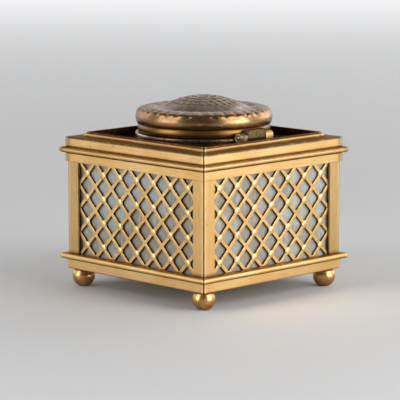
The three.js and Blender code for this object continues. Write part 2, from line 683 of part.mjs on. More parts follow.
function lidOutline(clearance = 0) {
  const brow = new THREE.SplineCurve([
    new THREE.Vector2(rollCentre, rollTop),
    new THREE.Vector2(LID_CREST_RADIUS, crestTop),
    new THREE.Vector2(LID_VALLEY_RADIUS, crestTop - LID_VALLEY_DROP),
    new THREE.Vector2(LID_DOME_RADIUS, domeTop - LID_DOME_RISE),
  ]).getPoints(6).slice(1).map((p) => [p.x, p.y + clearance]);
  const dome = Array.from({ length: LID_DOME_STEPS }, (_, i) => {
    const share = 1 - (i + 1) / LID_DOME_STEPS;
    return [LID_DOME_RADIUS * share, domeTop - LID_DOME_RISE * share ** 2 + clearance];
  });
  const rollDepth = LID_ROLL_DEPTH + clearance;
  return [
    [rimRadius + clearance, lidBottom - clearance],
    ...arc(rollCentre, rollLevel, rollDepth, LID_ROLL_LOWER + clearance, -rimAngle, 0, 3),
    ...arc(rollCentre, rollLevel, rollDepth, LID_ROLL_UPPER + clearance, 0, 90, 5).slice(1),
    ...brow,
    ...dome,
  ];
}

// The inside of a wall follows its outside, moved in along the normal
function movedIn(profile, distance) {
  return profile.map(([r, z], i) => {
    const [r0, z0] = profile[Math.max(0, i - 1)];
    const [r1, z1] = profile[Math.min(profile.length - 1, i + 1)];
    const length = Math.hypot(r1 - r0, z1 - z0);
    if (i === profile.length - 1) return [0, z - distance];
    if (i === 0) return [r - distance, z];
    return [r - ((z1 - z0) / length) * distance, z + ((r1 - r0) / length) * distance];
  });
}

const lidOuter = lidOutline();
const lidInner = movedIn(lidOuter, LID_WALL).reverse().filter((_, i) => i % 2 === 0);
const hingeCut = new THREE.CylinderGeometry(barrelRadius + SWING_GAP, barrelRadius + SWING_GAP,
  2 * notchHalf, BARREL_STEPS).rotateZ(Math.PI / 2).translate(0, hingeY, hingeZ);
add('lid_shell', cutFrom(turned([...lidInner, ...lidOuter], ROUND_STEPS), hingeCut), bronze);

// Hinge: a fixed leaf with the outer knuckles, a lid leaf with the middle one, and the pin
function acrossRod(radius, fromX, toX) {
  const length = toX - fromX;
  return new THREE.CylinderGeometry(radius, radius, length, BARREL_STEPS)
    .rotateZ(Math.PI / 2).translate(fromX + length / 2, hingeY, hingeZ);
}

const centreHalf = CENTRE_KNUCKLE / 2;
const pinHole = acrossRod(pinBore, -hingeHalf - OVERRUN, hingeHalf + OVERRUN);
const leafBottom = plateTop + SEAT_GAP;
const leafTop = leafBottom + LEAF_THICKNESS;
const leafBack = recessHalf - SEAT_GAP;
const webBack = hingeY + barrelRadius;
const webFront = webBack - LEAF_WEB;
const knuckleInner = centreHalf + SEAT_GAP;
const leafScrewX = (knuckleInner + hingeHalf) / 2;
const leafScrewY = (webBack + leafBack) / 2;

function fixedLeafGeometry() {
  const outerKnuckles = [-1, 1].flatMap((side) => {
    const ends = [side * knuckleInner, side * hingeHalf].sort((a, b) => a - b);
    return [
      acrossRod(barrelRadius, ...ends),
      block(...ends, webFront, webBack, leafBottom, hingeZ),
    ];
  });
  const leaf = block(-hingeHalf, hingeHalf, webFront, leafBack, leafBottom, leafTop);
  const relief = block(-knuckleInner, knuckleInner, webFront - OVERRUN, webBack + SWING_GAP,
    leafBottom - OVERRUN, leafTop + OVERRUN);
  const screwHoles = [-1, 1].map((side) => (
    rod(LEAF_SCREW_RADIUS + SCREW_CLEARANCE, leafBottom - OVERRUN, leafTop + OVERRUN, SCREW_STEPS)
      .translate(side * leafScrewX, leafScrewY, 0)
  ));
  return cutFrom(joined(cutFrom(leaf, relief), ...outerKnuckles), pinHole, ...screwHoles);
}
add('hinge_fixed_leaf', fixedLeafGeometry(), hingeBrass);

const lidSpace = turned([[0, lidBottom - SEAT_GAP], ...lidOutline(SEAT_GAP)], ROUND_STEPS);
const tongueBack = rimRadius + SEAT_GAP + TONGUE_THICKNESS;
const tongue = block(-centreHalf, centreHalf, notchFront, tongueBack, hingeZ, hingeZ + TONGUE_HEIGHT);
const lidLeaf = cutFrom(joined(tongue, acrossRod(barrelRadius, -centreHalf, centreHalf)), pinHole);
const lidLeafSpace = cutFrom(lidSpace, acrossRod(barrelRadius + SEAT_GAP, -hingeHalf, hingeHalf));
add('lid_hinge_leaf', cutFrom(lidLeaf, lidLeafSpace), hingeBrass);

const pin = new THREE.CylinderGeometry(PIN_RADIUS, PIN_RADIUS, HINGE_LENGTH, BARREL_STEPS)
  .rotateZ(Math.PI / 2).translate(0, hingeY, hingeZ);
add('hinge_pin', pin, steel);

// Leaf screws, down into holes in the plate
const leafScrewProfile = [
  [0, leafTop + SEAT_GAP - LEAF_SCREW_LENGTH],
  [LEAF_SCREW_RADIUS, leafTop + SEAT_GAP - LEAF_SCREW_LENGTH],
  [LEAF_SCREW_RADIUS, leafTop + SEAT_GAP],
  [LEAF_SCREW_HEAD, leafTop + SEAT_GAP],
  [LEAF_SCREW_RADIUS, leafTop + SEAT_GAP + LEAF_SCREW_HEAD_HEIGHT],
  [0, leafTop + SEAT_GAP + LEAF_SCREW_HEAD_HEIGHT],
];
['left', 'right'].forEach((name, i) => {
  const screw = add(`hinge_screw_${name}`, turned(leafScrewProfile, SCREW_STEPS), hingeBrass);
  screw.position.set((i * 2 - 1) * leafScrewX, leafScrewY, 0);
});

export default inkstand;
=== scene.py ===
# The looks of the desk inkstand: fine mouldings, pierced grilles, an embossed lid and a worn hinge in
# place of the plain parts, the finish of every surface, a plain studio and the camera. Metres, in the
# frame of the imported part: +Z up, the hinge at +Y, the camera off the corner of +X and +Y.

import math

import bmesh
import bpy
from mathutils import Matrix, Vector


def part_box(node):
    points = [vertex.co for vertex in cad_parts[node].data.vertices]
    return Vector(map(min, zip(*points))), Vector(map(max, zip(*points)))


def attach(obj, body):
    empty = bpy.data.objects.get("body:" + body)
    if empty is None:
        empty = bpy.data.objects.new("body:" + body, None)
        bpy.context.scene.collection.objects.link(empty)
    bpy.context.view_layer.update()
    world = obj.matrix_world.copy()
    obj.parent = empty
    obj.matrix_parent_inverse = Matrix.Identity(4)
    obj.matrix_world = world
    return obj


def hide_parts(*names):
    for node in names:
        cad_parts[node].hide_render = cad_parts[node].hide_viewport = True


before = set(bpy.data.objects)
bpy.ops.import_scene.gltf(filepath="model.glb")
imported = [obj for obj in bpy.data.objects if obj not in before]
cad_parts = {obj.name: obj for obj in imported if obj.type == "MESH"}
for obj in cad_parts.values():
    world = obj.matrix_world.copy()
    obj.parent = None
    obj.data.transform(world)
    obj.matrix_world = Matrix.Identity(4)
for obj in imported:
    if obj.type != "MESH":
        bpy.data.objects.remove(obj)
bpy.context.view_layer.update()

MM = 0.001
UP = Vector((0, 0, 1))

# Main sizes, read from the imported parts
base_low, base_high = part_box("base_frame")
post_low, post_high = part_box("corner_post_back_right")
cornice_low, cornice_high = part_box("cornice_frame")
moulding_low, moulding_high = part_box("top_moulding")
grille_low, grille_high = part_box("grille_back")
collar_low, collar_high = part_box("collar_ring")
lid_low, lid_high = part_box("lid_shell")
pot_low, pot_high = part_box("glass_ink_pot")
leaf_low, leaf_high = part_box("hinge_fixed_leaf")
lid_leaf_low, lid_leaf_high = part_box("lid_hinge_leaf")
pin_low, pin_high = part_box("hinge_pin")
foot_low, foot_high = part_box("foot_back_right")
bead_half = base_high.x
post_half = post_high.x
hinge_y = (pin_low.y + pin_high.y) / 2
hinge_z = (pin_low.z + pin_high.z) / 2
lid_radius = lid_high.x
lid_bottom = lid_low.z
dome_top = lid_high.z

# Mitred corners
CORNER_ROUND = 0.55 * MM
SEAM_DEPTH = 0.16 * MM
SEAM_HALF_ANGLE = 9  # half the seam's width, in degrees round the corner
CORNER_STEPS = 5  # on each side of the seam
EDGE = 0.15 * MM  # softened edges
PACKED_EDGE = 0.12 * MM  # the same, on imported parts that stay
CORNER_BAND = 4 * MM  # a frame's corners are rounded this far in from its widest bead
MOULDING_CORNER_BAND = 1.3 * MM

# Meshes
WELD = 0.001 * MM  # what lies closer is one point
PLATE_WELD = 0.002 * MM
ON_AXIS = 0.0001 * MM  # what lies closer to the axis is on it
OVERRUN = 2 * MM  # of a cutter past what it cuts
GUIDE = 1 * MM  # a straight that only steers a profile's first or last fillet and is left out
BASE_GUIDE = 4 * MM
SHARP_FROM = 35  # degrees
BEVEL_FROM = 40

# Steps round what is turned
LID_STEPS = 320
COLLAR_STEPS = 160
POT_STEPS = 128
FOOT_STEPS = 72
BARREL_STEPS = 48
SCREW_STEPS = 40
BORE_STEPS = 32
BOSS_STEPS = 28

# Base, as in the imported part
BASE_STEP = 0.4 * MM
BASE_BEAD_HEIGHT = 2.8 * MM
BASE_EDGE = 0.35 * MM
WALL_REBATE = 2 * MM
LEDGE_INSET = 3.5 * MM  # from the rebate to the inside of the base
FLOOR_RELIEF = 1.5 * MM
FLOOR_REBATE = 2.1 * MM

# Posts
POST_WIDTH = post_high.x - post_low.x
POST_WALL = 1.2 * MM

# Cornice and top moulding
CORNICE_STEP = 0.9 * MM
CORNICE_BAND_HEIGHT = 4.5 * MM
CORNICE_BEAD_HEIGHT = 2.8 * MM
CORNICE_COVE_HEIGHT = 1.0 * MM
CORNICE_COVE_DEPTH = 0.18 * MM
CORNICE_EDGE = 0.9 * MM
TOP_RIM_WIDTH = 6.2 * MM
LEDGE_WIDTH = 3.5 * MM
LEDGE_THICKNESS = 2 * MM
LEDGE_LEVEL = 4.2 * MM  # top of the ledge below the top of the cornice
MOULDING_WIDTH = 2.15 * MM
MOULDING_ROUND = 0.7 * MM
MOULDING_ROLL_WIDTH = 1.1 * MM
MOULDING_ROLL_RISE = 1.45 * MM  # above the cornice
MOULDING_LIP_ROUND = 0.35 * MM
SEAT_GAP = 0.15 * MM

# Trellis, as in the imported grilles
OPENING_REVEAL = 0.8 * MM
TRELLIS_COLUMNS = 7
TRELLIS_ROWS = 4
TRELLIS_BAR = 1.7 * MM
BOSS_RADIUS = 1.9 * MM
BOSS_RISE = 0.4 * MM
BOSS_ROOT_INSET = 0.35 * MM  # of the boss's root inside the plate
BOSS_DOME_INSET = 0.22 * MM
FRET_FILLET = 0.45 * MM
FRET_BEVEL = 0.16 * MM

# Feet
FOOT_RADIUS = 5.6 * MM
FOOT_FLAT_RADIUS = 2.6 * MM
FOOT_SEAT_RADIUS = 4.1 * MM
STUD_RADIUS = 1.6 * MM

# Lid
LID_WALL = 1.1 * MM
LID_RIM_INSET = 1.2 * MM
LID_ROLL_LEVEL = 7.2 * MM
LID_ROLL_DEPTH = 3.2 * MM
LID_ROLL_UPPER = 4.1 * MM
LID_ROLL_LOWER = 5.6 * MM
LID_CREST_RADIUS = 27 * MM
LID_CREST_RISE = 0.7 * MM
LID_VALLEY_RADIUS = 22.4 * MM
LID_VALLEY_DROP = 0.6 * MM
LID_DOME_RADIUS = 19.8 * MM
LID_DOME_RISE = 4.8 * MM
LID_SHARP_FROM = 50
LID_RING_LEVEL = 2.1 * MM  # the small ring under the rolled side, at its widest
LID_RING_INSET = 1.05 * MM  # inside the widest circle
LID_RING_DEPTH = 0.8 * MM
LID_RING_TURN = 58  # degrees that it curves back above its widest
LID_GROOVE_LEVEL = 3.9 * MM
LID_UNDERCUT = 1.6 * MM  # of the rolled side, above the groove
LID_UNDERCUT_TURN = 78
SWING_GAP = 0.35 * MM

# Relief of the lid: rows of scales on the dome, round a plain button, and tongues round the crest
BUTTON_RADIUS = 2.6 * MM
SCALE_ROW = 3.3 * MM  # pitch of the rows
SCALE_LIFT = 0.6 * MM
SCALE_FADE = 2.4 * MM  # plain border outside the scales
SCALE_FEWEST = 8  # in a row
SCALE_UNDER_SHARE = 0.4  # of the first row, under the button
SCALE_WIDTH_SHARE = 1.12  # shares of a row: a scale's width, and how far its end comes forward and back
SCALE_TIP_SHARE = 0.75
SCALE_BACK_SHARE = 0.2
SCALE_SINK_SHARE = 0.7  # shares of the lift: below the plain dome, at a scale's root, lost at its sides
SCALE_ROOT_SHARE = 0.25
SCALE_SIDE_SHARE = 0.55
TONGUE_COUNT = 34
TONGUE_INNER = 23.4 * MM
TONGUE_START = (lid_radius - TONGUE_INNER) / 9  # over which a tongue rises at its inner end
TONGUE_LIFT = 0.378 * MM
TONGUE_DROP = 1.2 * MM  # of its sides, down the rolled side
TONGUE_TIP = 1.3 * MM  # of its round end, below its sides
TONGUE_SOFT = 1.9 * MM  # over which its end runs out
TONGUE_WIDTH_SHARE = 0.86  # of the pitch
RIB_WIDTH_SHARE = 0.12  # of the pitch
RIB_LIFT_SHARE = 0.35  # of the tongue's lift, taken out along its middle

# Collar
COLLAR_FLANGE = 1.8 * MM
COLLAR_FLANGE_ROUND = 0.55 * MM
COLLAR_SHOULDER = 0.6 * MM
COLLAR_WALL = 2.4 * MM
COLLAR_SEAT_DEPTH = 2.4 * MM
COLLAR_SEAT_WIDTH = 2.6 * MM
COLLAR_SEAT_THICKNESS = 1.8 * MM
COLLAR_PLATE_GAP = 3.95 * MM  # top of the collar above its shoulder

# Ink pot
POT_WALL = 3 * MM
POT_BASE = 4.5 * MM
POT_BRIM = 3 * MM
POT_BRIM_WIDTH = 4 * MM
POT_BODY_INSET = 2.8 * MM  # body inside the brim
POT_ROUND = 2 * MM
POT_MOUTH_RADIUS = 15 * MM
POT_FUNNEL_DEPTH = 4.2 * MM
POT_THROAT = 2 * MM
POT_SHOULDER = 3.4 * MM

# Hinge
HINGE_HALF = pin_high.x
CENTRE_HALF = lid_leaf_high.x
BARREL_RADIUS = leaf_high.z - hinge_z
PIN_BORE = 1.05 * MM
LEAF_THICKNESS = 1.1 * MM
WEB_THICKNESS = 1.3 * MM
EAR_LAP = 1 * MM  # of the knuckles' ears into the leaf
LID_LEAF_SETBACK = 0.4 * MM  # of the lid leaf's upright part behind its knuckle's front
PIN_EDGE = 0.3 * MM
LEAF_SCREW_HEAD = 1.3 * MM
LEAF_SCREW_SHANK = 0.75 * MM
LEAF_SCREW_RISE = 0.5 * MM
SLOT_HALF = 0.18 * MM
SLOT_DEPTH = 0.28 * MM
SLOT_EDGE = 0.05 * MM
SLOT_TURNS = {"left": 25, "right": -40}  # degrees

# Camera
CAMERA_AZIMUTH = 135.14
CAMERA_ELEVATION = 9.01
CAMERA_DISTANCE = 1194 * MM
CAMERA_LENS = 216.3
CAMERA_CLIP = (0.05, 60)
TARGET_SIDEWAYS = -1.966 * MM
TARGET_HEIGHT = 43.0 * MM

# Floor
FLOOR_RADIUS = 9
FLOOR_CHANGE = (0.12, 1.05)  # how far out its near tone starts to give way, and is gone

# Lights: name, bearing to the camera's right and elevation in degrees, distance, width, height, watts
SOFTBOXES = [
    ("right_low", 58, 8, 1.1, 0.8, 0.55, 9.0),
    ("right_high", 60, 38, 1.1, 0.8, 0.55, 4.0),
    ("right_rear", 125, 20, 1.3, 0.9, 0.9, 3.5),
    ("left_low", -64, 8, 1.1, 0.6, 0.55, 4.5),
    ("left_high", -64, 38, 1.1, 0.6, 0.55, 2.5),
    ("left_rear", -125, 20, 1.3, 0.9, 0.9, 2.5),
]
BACKDROP_LIGHT = ("backdrop_light", 5, 2.2, 35)  # name, width, height, watts
BACKDROP_DISTANCE = 2.6  # behind the object
BACKDROP_LEVEL = 1.5
BACKDROP_SPREAD = 90  # degrees

# Warm light that the gilt sides throw on the floor beside them: name, side, watts
SIDE_GLOWS = [
    ("glow_of_back", (0, 1), 0.02),
    ("glow_of_right", (1, 0), 0.004),
]
GLOW_COLOUR = (1.0, 0.76, 0.50)
GLOW_GAP = 2 * MM  # off the widest bead

# Strength of the room's light
ROOM_BEHIND = (0.52, 1.2)  # from left to right
ROOM_ABOVE = 0.2
ROOM_IN_FRONT = 0.12


# Profiles: lists of (distance from the axis, height), anticlockwise

def arc(centre, radii, first, last, steps):
    """Points of an elliptical arc between two angles in degrees."""
    angles = [math.radians(first + (last - first) * i / steps) for i in range(steps + 1)]
    return [(centre[0] + radii[0] * math.cos(a), centre[1] + radii[1] * math.sin(a)) for a in angles]


def filleted(corners, steps=3):
    """An outline of (x, y, fillet radius) corners as points. A corner without a radius gets EDGE."""
    points = []
    for i, corner in enumerate(corners):
        x, y, radius = (*corner, EDGE)[:3]
        here = Vector((x, y))
        before = (Vector(corners[i - 1][:2]) - here).normalized()
        after = (Vector(corners[(i + 1) % len(corners)][:2]) - here).normalized()
        if radius <= 0:
            points.append((x, y))
            continue
        half = before.angle(after) / 2
        reach = radius / math.tan(half)
        centre = here + (before + after).normalized() * (radius / math.sin(half))
        start = here + before * reach - centre
        end = here + after * reach - centre
        for k in range(steps + 1):
            spoke = start.lerp(end, k / steps).normalized() * radius
            points.append(tuple(centre + spoke))
    return points


def smooth_curve(points, steps):
    """A Catmull-Rom curve through the points, without its first point."""
    ends = [points[0], *points, points[-1]]
    curve = []
    for i in range(len(points) - 1):
        a, b, c, d = (Vector(p) for p in ends[i:i + 4])
        for k in range(1, steps + 1):
            t = k / steps
            curve.append(tuple(
                0.5 * (2 * b + (c - a) * t + (2 * a - 5 * b + 4 * c - d) * t ** 2
                       + (3 * b - a - 3 * c + d) * t ** 3)
            ))
    return curve


def outward(profile, i, closed):
    """The unit normal at a point of an anticlockwise profile."""
    last = len(profile) - 1
    before = profile[i - 1] if closed else profile[max(0, i - 1)]
    after = profile[(i + 1) % len(profile)] if closed else profile[min(last, i + 1)]
    run = Vector((after[0] - before[0], after[1] - before[1])).normalized()
    return Vector((run.y, -run.x))


def drawn_in(profile, distance, closed=True):
    """The profile moved in along its normals."""
    return [tuple(Vector(p) - outward(profile, i, closed) * distance) for i, p in enumerate(profile)]


# Meshes

def cleaned(mesh, weld=WELD):
    """Merges what coincides and turns every face outwards."""
    made = bmesh.new()
    made.from_mesh(mesh)
    bmesh.ops.remove_doubles(made, verts=made.verts, dist=weld)
    bmesh.ops.recalc_face_normals(made, faces=made.faces)
    made.to_mesh(mesh)
    made.free()
    return mesh


def mesh_from(vertices, faces):
    mesh = bpy.data.meshes.new("mesh")
    mesh.from_pydata([tuple(v) for v in vertices], [], faces)
    return cleaned(mesh)


def turned_mesh(profile, steps, closed, shaped=None):
    """A profile turned about Z. Points on the axis are shared, and a closed profile makes a ring.

    The function shaped gives the place of a point off the axis, from its number and its turn.
    """
    vertices = []
    rings = []
    for i, (r, z) in enumerate(profile):
        if r < ON_AXIS:
            rings.append([len(vertices)] * steps)
            vertices.append((0, 0, z))
            continue
        rings.append(list(range(len(vertices), len(vertices) + steps)))
        for k in range(steps):
            turn = 2 * math.pi * k / steps
            radius, height = shaped(i, turn) if shaped else (r, z)
            vertices.append((radius * math.cos(turn), radius * math.sin(turn), height))
    faces = []
    for i in range(len(rings) if closed else len(rings) - 1):
        low, high = rings[i], rings[(i + 1) % len(rings)]
        for k in range(steps):
            corners = [low[k], low[(k + 1) % steps], high[(k + 1) % steps], high[k]]
            face = list(dict.fromkeys(corners))
            if len(face) > 2:
                faces.append(face)
    return mesh_from(vertices, faces)


def frame_mesh(profile, round_from):
    """A mitred square frame of one profile. Its corners are rounded outside, from that distance on."""
    stations = []
    span = (45 - SEAM_HALF_ANGLE) / CORNER_STEPS
    seam_profile = drawn_in(profile, SEAM_DEPTH)
    for corner in range(4):
        for k in range(CORNER_STEPS + 1):
            stations.append((corner, k * span, profile))
        stations.append((corner, 45, seam_profile))
        for k in range(CORNER_STEPS, -1, -1):
            stations.append((corner, 90 - k * span, profile))
    vertices = []
    for corner, angle, section in stations:
        turn = Matrix.Rotation(corner * math.pi / 2, 3, "Z")
        spoke = Vector((math.cos(math.radians(angle)), math.sin(math.radians(angle)), 0))
        for half, z in section:
            radius = CORNER_ROUND if half > round_from else EDGE
            centre = Vector((half - radius, half - radius, z))
            vertices.append(turn @ (centre + spoke * radius))
    count = len(profile)
    faces = []
    for i in range(len(stations)):
        here, there = i * count, (i + 1) % len(stations) * count
        for k in range(count):
            after = (k + 1) % count
            faces.append([here + k, there + k, there + after, here + after])
    return mesh_from(vertices, faces)


def prism_mesh(outline, low, high, edge):
    """An outline in plan, extruded up, with its end edges softened."""
    inner = drawn_in(outline, edge)
    levels = [(inner, low), (outline, low + edge), (outline, high - edge), (inner, high)]
    count = len(outline)
    vertices = [(x, y, z) for points, z in levels for x, y in points]
    faces = [list(range(count))[::-1], list(range(3 * count, 4 * count))]
    for level in range(3):
        for k in range(count):
            after = (k + 1) % count
            here = level * count
            faces.append([here + k, here + after, here + count + after, here + count + k])
    return mesh_from(vertices, faces)


def block_mesh(low, high, edge=EDGE):
    outline = filleted([(low[0], low[1], edge), (high[0], low[1], edge),
                        (high[0], high[1], edge), (low[0], high[1], edge)], 2)
    return prism_mesh(outline, low[2], high[2], edge)


def rod_on_hinge(radius, first, last, steps, edge=EDGE):
    """A rod along the hinge axis, from one x to another, with softened ends."""
    length = last - first
    profile = [(0, 0), *arc((radius - edge, edge), (edge, edge), -90, 0, 2),
               *arc((radius - edge, length - edge), (edge, edge), 0, 90, 2), (0, length)]
    return on_hinge(turned_mesh(profile, steps, closed=False), first)


def on_hinge(mesh, first):
    """Lays what was turned about Z along the hinge axis, from one x on."""
    mesh.transform(Matrix.Translation((first, hinge_y, hinge_z)) @ Matrix.Rotation(math.pi / 2, 4, "Y"))
    return mesh


def linked(name, data):
    """A new object in the scene."""
    obj = bpy.data.objects.new(name, data)
    bpy.context.scene.collection.objects.link(obj)
    return obj


def with_boolean(mesh, other, operation):
    target = linked("boolean_target", mesh)
    tool = linked("boolean_tool", other)
    modifier = target.modifiers.new("boolean", "BOOLEAN")
    modifier.operation = operation
    modifier.solver = "EXACT"
    modifier.object = tool
    graph = bpy.context.evaluated_depsgraph_get()
    result = bpy.data.meshes.new_from_object(target.evaluated_get(graph))
    for obj in (target, tool):
        bpy.data.objects.remove(obj)
    return result


def joined(mesh, *others):
    for other in others:
        mesh = with_boolean(mesh, other, "UNION")
    return mesh


def cut(mesh, *tools):
    for tool in tools:
        mesh = with_boolean(mesh, tool, "DIFFERENCE")
    return mesh


def piece(name, mesh, material, body, node, sharp_from=SHARP_FROM):
    """Puts a mesh in the scene as a piece that rides on a body and stands for the node named."""
    mesh.shade_smooth()
    mesh.set_sharp_from_angle(angle=math.radians(sharp_from))
    mesh.name = name
    mesh.validate()
    mesh.materials.clear()
    mesh.materials.append(material)
    obj = linked(name, mesh)
    flat_faces = obj.modifiers.new("flat_faces", "WEIGHTED_NORMAL")
    flat_faces.keep_sharp = True
    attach(obj, body)
    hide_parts(node)


# Finishes

class Finish:
    """A material being built. Each method adds nodes and returns an output socket."""

    def __init__(self, name):
        self.material = bpy.data.materials.new(name)
        self.material.use_nodes = True
        self.nodes = self.material.node_tree.nodes
        self.links = self.material.node_tree.links
        self.shader = self.nodes["Principled BSDF"]
        self.place = self.nodes.new("ShaderNodeTexCoord").outputs["Object"]

    def feed(self, socket, value):
        if isinstance(value, bpy.types.NodeSocket):
            self.links.new(value, socket)
        elif isinstance(value, tuple) and len(value) == 3 and len(socket.default_value) == 4:
            socket.default_value = (*value, 1)
        else:
            socket.default_value = value

    def node(self, kind, inputs=(), **settings):
        made = self.nodes.new(kind)
        for name, value in settings.items():
            setattr(made, name, value)
        for name, value in dict(inputs).items():
            self.feed(made.inputs[name], value)
        return made

    def set(self, **values):
        """Sets the shader's sockets: base_color for Base Color, and so on."""
        for name, value in values.items():
            self.feed(self.shader.inputs[name.replace("_", " ").title().replace("Ior", "IOR")], value)

    def math(self, operation, a, b=0.0):
        return self.node("ShaderNodeMath", {0: a, 1: b}, operation=operation).outputs[0]

    def sum(self, a, b):
        return self.math("ADD", a, b)

    def times(self, a, b):
        return self.math("MULTIPLY", a, b)

    def between(self, value, low, high, to_low=0.0, to_high=1.0):
        """The value's way from low to high, eased, as a share from to_low to to_high."""
        inputs = {"Value": value, "From Min": low, "From Max": high, "To Min": to_low, "To Max": to_high}
        return self.node("ShaderNodeMapRange", inputs, interpolation_type="SMOOTHSTEP").outputs[0]

    def mix(self, share, a, b):
        return self.node("ShaderNodeMix", {0: share, 6: a, 7: b}, data_type="RGBA").outputs[2]

    def at(self, stretch=(1, 1, 1), shift=(0, 0, 0)):
        """The place on the object, stretched along its axes and shifted."""
        inputs = {0: self.place, 1: stretch, 2: shift}
        return self.node("ShaderNodeVectorMath", inputs, operation="MULTIPLY_ADD").outputs[0]

    def noise(self, size, detail=3.0, shift=0.0, stretch=(1, 1, 1), roughness=0.5, distortion=0.0):
        """Noise with patches of about the size given."""
        inputs = {"Vector": self.at(stretch, (shift, shift, shift)), "Scale": 1 / size, "Detail": detail,
                  "Roughness": roughness, "Distortion": distortion}
        return self.node("ShaderNodeTexNoise", inputs).outputs[0]

    def spots(self, size, shift=0.0):
        """Distance from the nearest of scattered points, in spot sizes."""
        inputs = {"Vector": self.at(shift=(shift, shift, shift)), "Scale": 1 / size}
        return self.node("ShaderNodeTexVoronoi", inputs).outputs["Distance"]

    def axis(self, letter):
        return self.node("ShaderNodeSeparateXYZ", {0: self.place}).outputs[letter]

    def height(self):
        return self.axis("Z")

    def off_middle(self):
        """Distances from the middle of the box, along X and along Y."""
        return [self.math("ABSOLUTE", self.axis(letter)) for letter in "XY"]

    def off_diagonal(self):
        """Distance from the mitres, in plan."""
        return self.math("ABSOLUTE", self.math("SUBTRACT", *self.off_middle()))

    def reach(self):
        """Distance from the middle of the box, square in plan."""
        return self.math("MAXIMUM", *self.off_middle())

    def from_axis(self):
        """Distance from the upright axis through the middle of the box."""
        flat = self.node("ShaderNodeVectorMath", {0: self.place, 1: (1, 1, 0)}, operation="MULTIPLY")
        return self.node("ShaderNodeVectorMath", {0: flat.outputs[0]}, operation="LENGTH").outputs["Value"]

    def towards_hinge_corner(self):
        """How far towards the corner of +X and +Y a point lies, as the sum of both."""
        return self.sum(self.axis("X"), self.axis("Y"))

    def band(self, value, rise, fall):
        """1 between the end of the rise and the start of the fall, and 0 outside both."""
        return self.times(self.between(value, *rise), self.between(value, *fall, 1, 0))

    def crevice(self, reach, **settings):
        """How deep in a crevice a point lies, from 0 in the open."""
        made = self.node("ShaderNodeAmbientOcclusion", {"Distance": reach}, samples=8, **settings)
        return self.math("SUBTRACT", 1.0, made.outputs["AO"])

    def edge(self, reach):
        """How near an outer edge a point lies, from 0 on the flat."""
        return self.crevice(reach, inside=True, only_local=True)

    def bump(self, height, depth):
        inputs = {"Height": height, "Distance": depth, "Strength": 1.0}
        return self.node("ShaderNodeBump", inputs).outputs[0]


GOLD_PALE = (0.84, 0.57, 0.25)
GOLD_DEEP = (0.75, 0.46, 0.17)
GOLD_ROSY = (0.80, 0.45, 0.22)
# Dark brown: patina in hollows and seams, and painted shade in several stains below
PATINA_AND_SHADE = (0.09, 0.038, 0.013)
# Purple-brown: patina, and a painted dark reflection along the cornice's top edge
PURPLE_PATINA_AND_SHADE = (0.11, 0.06, 0.048)
OLIVE_BROWN = (0.33, 0.22, 0.10)
DARK_BRONZE = (0.30, 0.165, 0.055)
# Painted shade for the posts away from the corner of +X and +Y
FAR_POST_SHADE = (0.40, 0.27, 0.12)
# Pale wear on edges and beside the mitres, with a painted highlight there
PALE_WEAR_AND_HIGHLIGHT = (0.98, 0.80, 0.50)
GRAZING_TINT = (0.5, 0.38, 0.28)


def gilt_finish(name, grain, stains_and_shade, mitred=True):
    """Satin gilding, brushed along the grain, worn pale on edges and beside the mitres with a painted
    highlight there, and brown in crevices and mitres.

    Each entry is (how it is measured, rise, fall, share, colour): a line or a band painted dark, some as
    patina and some as painted shade.
    """
    f = Finish(name)
    colour = f.mix(f.between(f.noise(26 * MM), 0.38, 0.66), GOLD_DEEP, GOLD_PALE)
    colour = f.mix(f.between(f.noise(9 * MM, shift=1.7), 0.52, 0.72, 0, 0.5), colour, GOLD_ROSY)
    streaks = f.noise(1.0 * MM, detail=5, stretch=grain, roughness=0.65)
    colour = f.mix(f.between(streaks, 0.45, 0.75, 0, 0.22), colour, PATINA_AND_SHADE)
    fleck = f.between(f.spots(5.2 * MM, shift=0.4), 0.06, 0.13, 1, 0)
    fleck = f.times(fleck, f.between(f.noise(15 * MM, shift=2.9), 0.5, 0.62))
    colour = f.mix(f.times(fleck, 0.6), colour, PATINA_AND_SHADE)
    # pale wear and a painted highlight on the outer edges
    edge = f.between(f.edge(0.5 * MM), 0.35, 0.75)
    colour = f.mix(f.times(edge, 0.5), colour, PALE_WEAR_AND_HIGHLIGHT)
    worn = f.noise(4 * MM, detail=5, shift=5.3)
    dirt = f.times(f.between(f.crevice(1.1 * MM), 0.22, 0.62), f.between(worn, 0.2, 0.5, 0.55, 1))
    for measure, rise, fall, share, dark_tint in stains_and_shade:
        here = f.times(f.band(measure(f), rise, fall), f.between(worn, 0.25, 0.55, 0.7 * share, share))
        colour = f.mix(here, colour, dark_tint)
    if mitred:
        from_mitre = f.off_diagonal()
        # pale wear and a painted highlight on either side of each mitre
        rubbed_and_sheen = f.band(from_mitre, (0.6 * MM, 0.85 * MM), (1.3 * MM, 2 * MM))
        colour = f.mix(f.times(rubbed_and_sheen, f.between(worn, 0.3, 0.6, 0.15, 0.35)), colour, PALE_WEAR_AND_HIGHLIGHT)
        seam = f.between(from_mitre, 0.3 * MM, 0.6 * MM, 0.85, 0)
        dirt = f.math("MAXIMUM", dirt, f.times(seam, f.between(worn, 0.25, 0.6, 0.7, 1)))
    colour = f.mix(dirt, colour, PATINA_AND_SHADE)
    rough = f.sum(f.between(streaks, 0.3, 0.7, 0.32, 0.44), f.times(dirt, 0.25))
    pits = f.noise(0.6 * MM, detail=4, shift=3.3)
    height = f.sum(f.times(streaks, 0.5), f.times(pits, 0.5))
    f.set(base_color=colour, metallic=1.0, roughness=rough, specular_tint=GRAZING_TINT,
          normal=f.bump(height, 0.006 * MM))
    return f.material


ALONG_RUN = (0.06, 0.06, 1)
UPRIGHT = (1, 1, 0.05)
ALL_WAYS = (1, 1, 1)

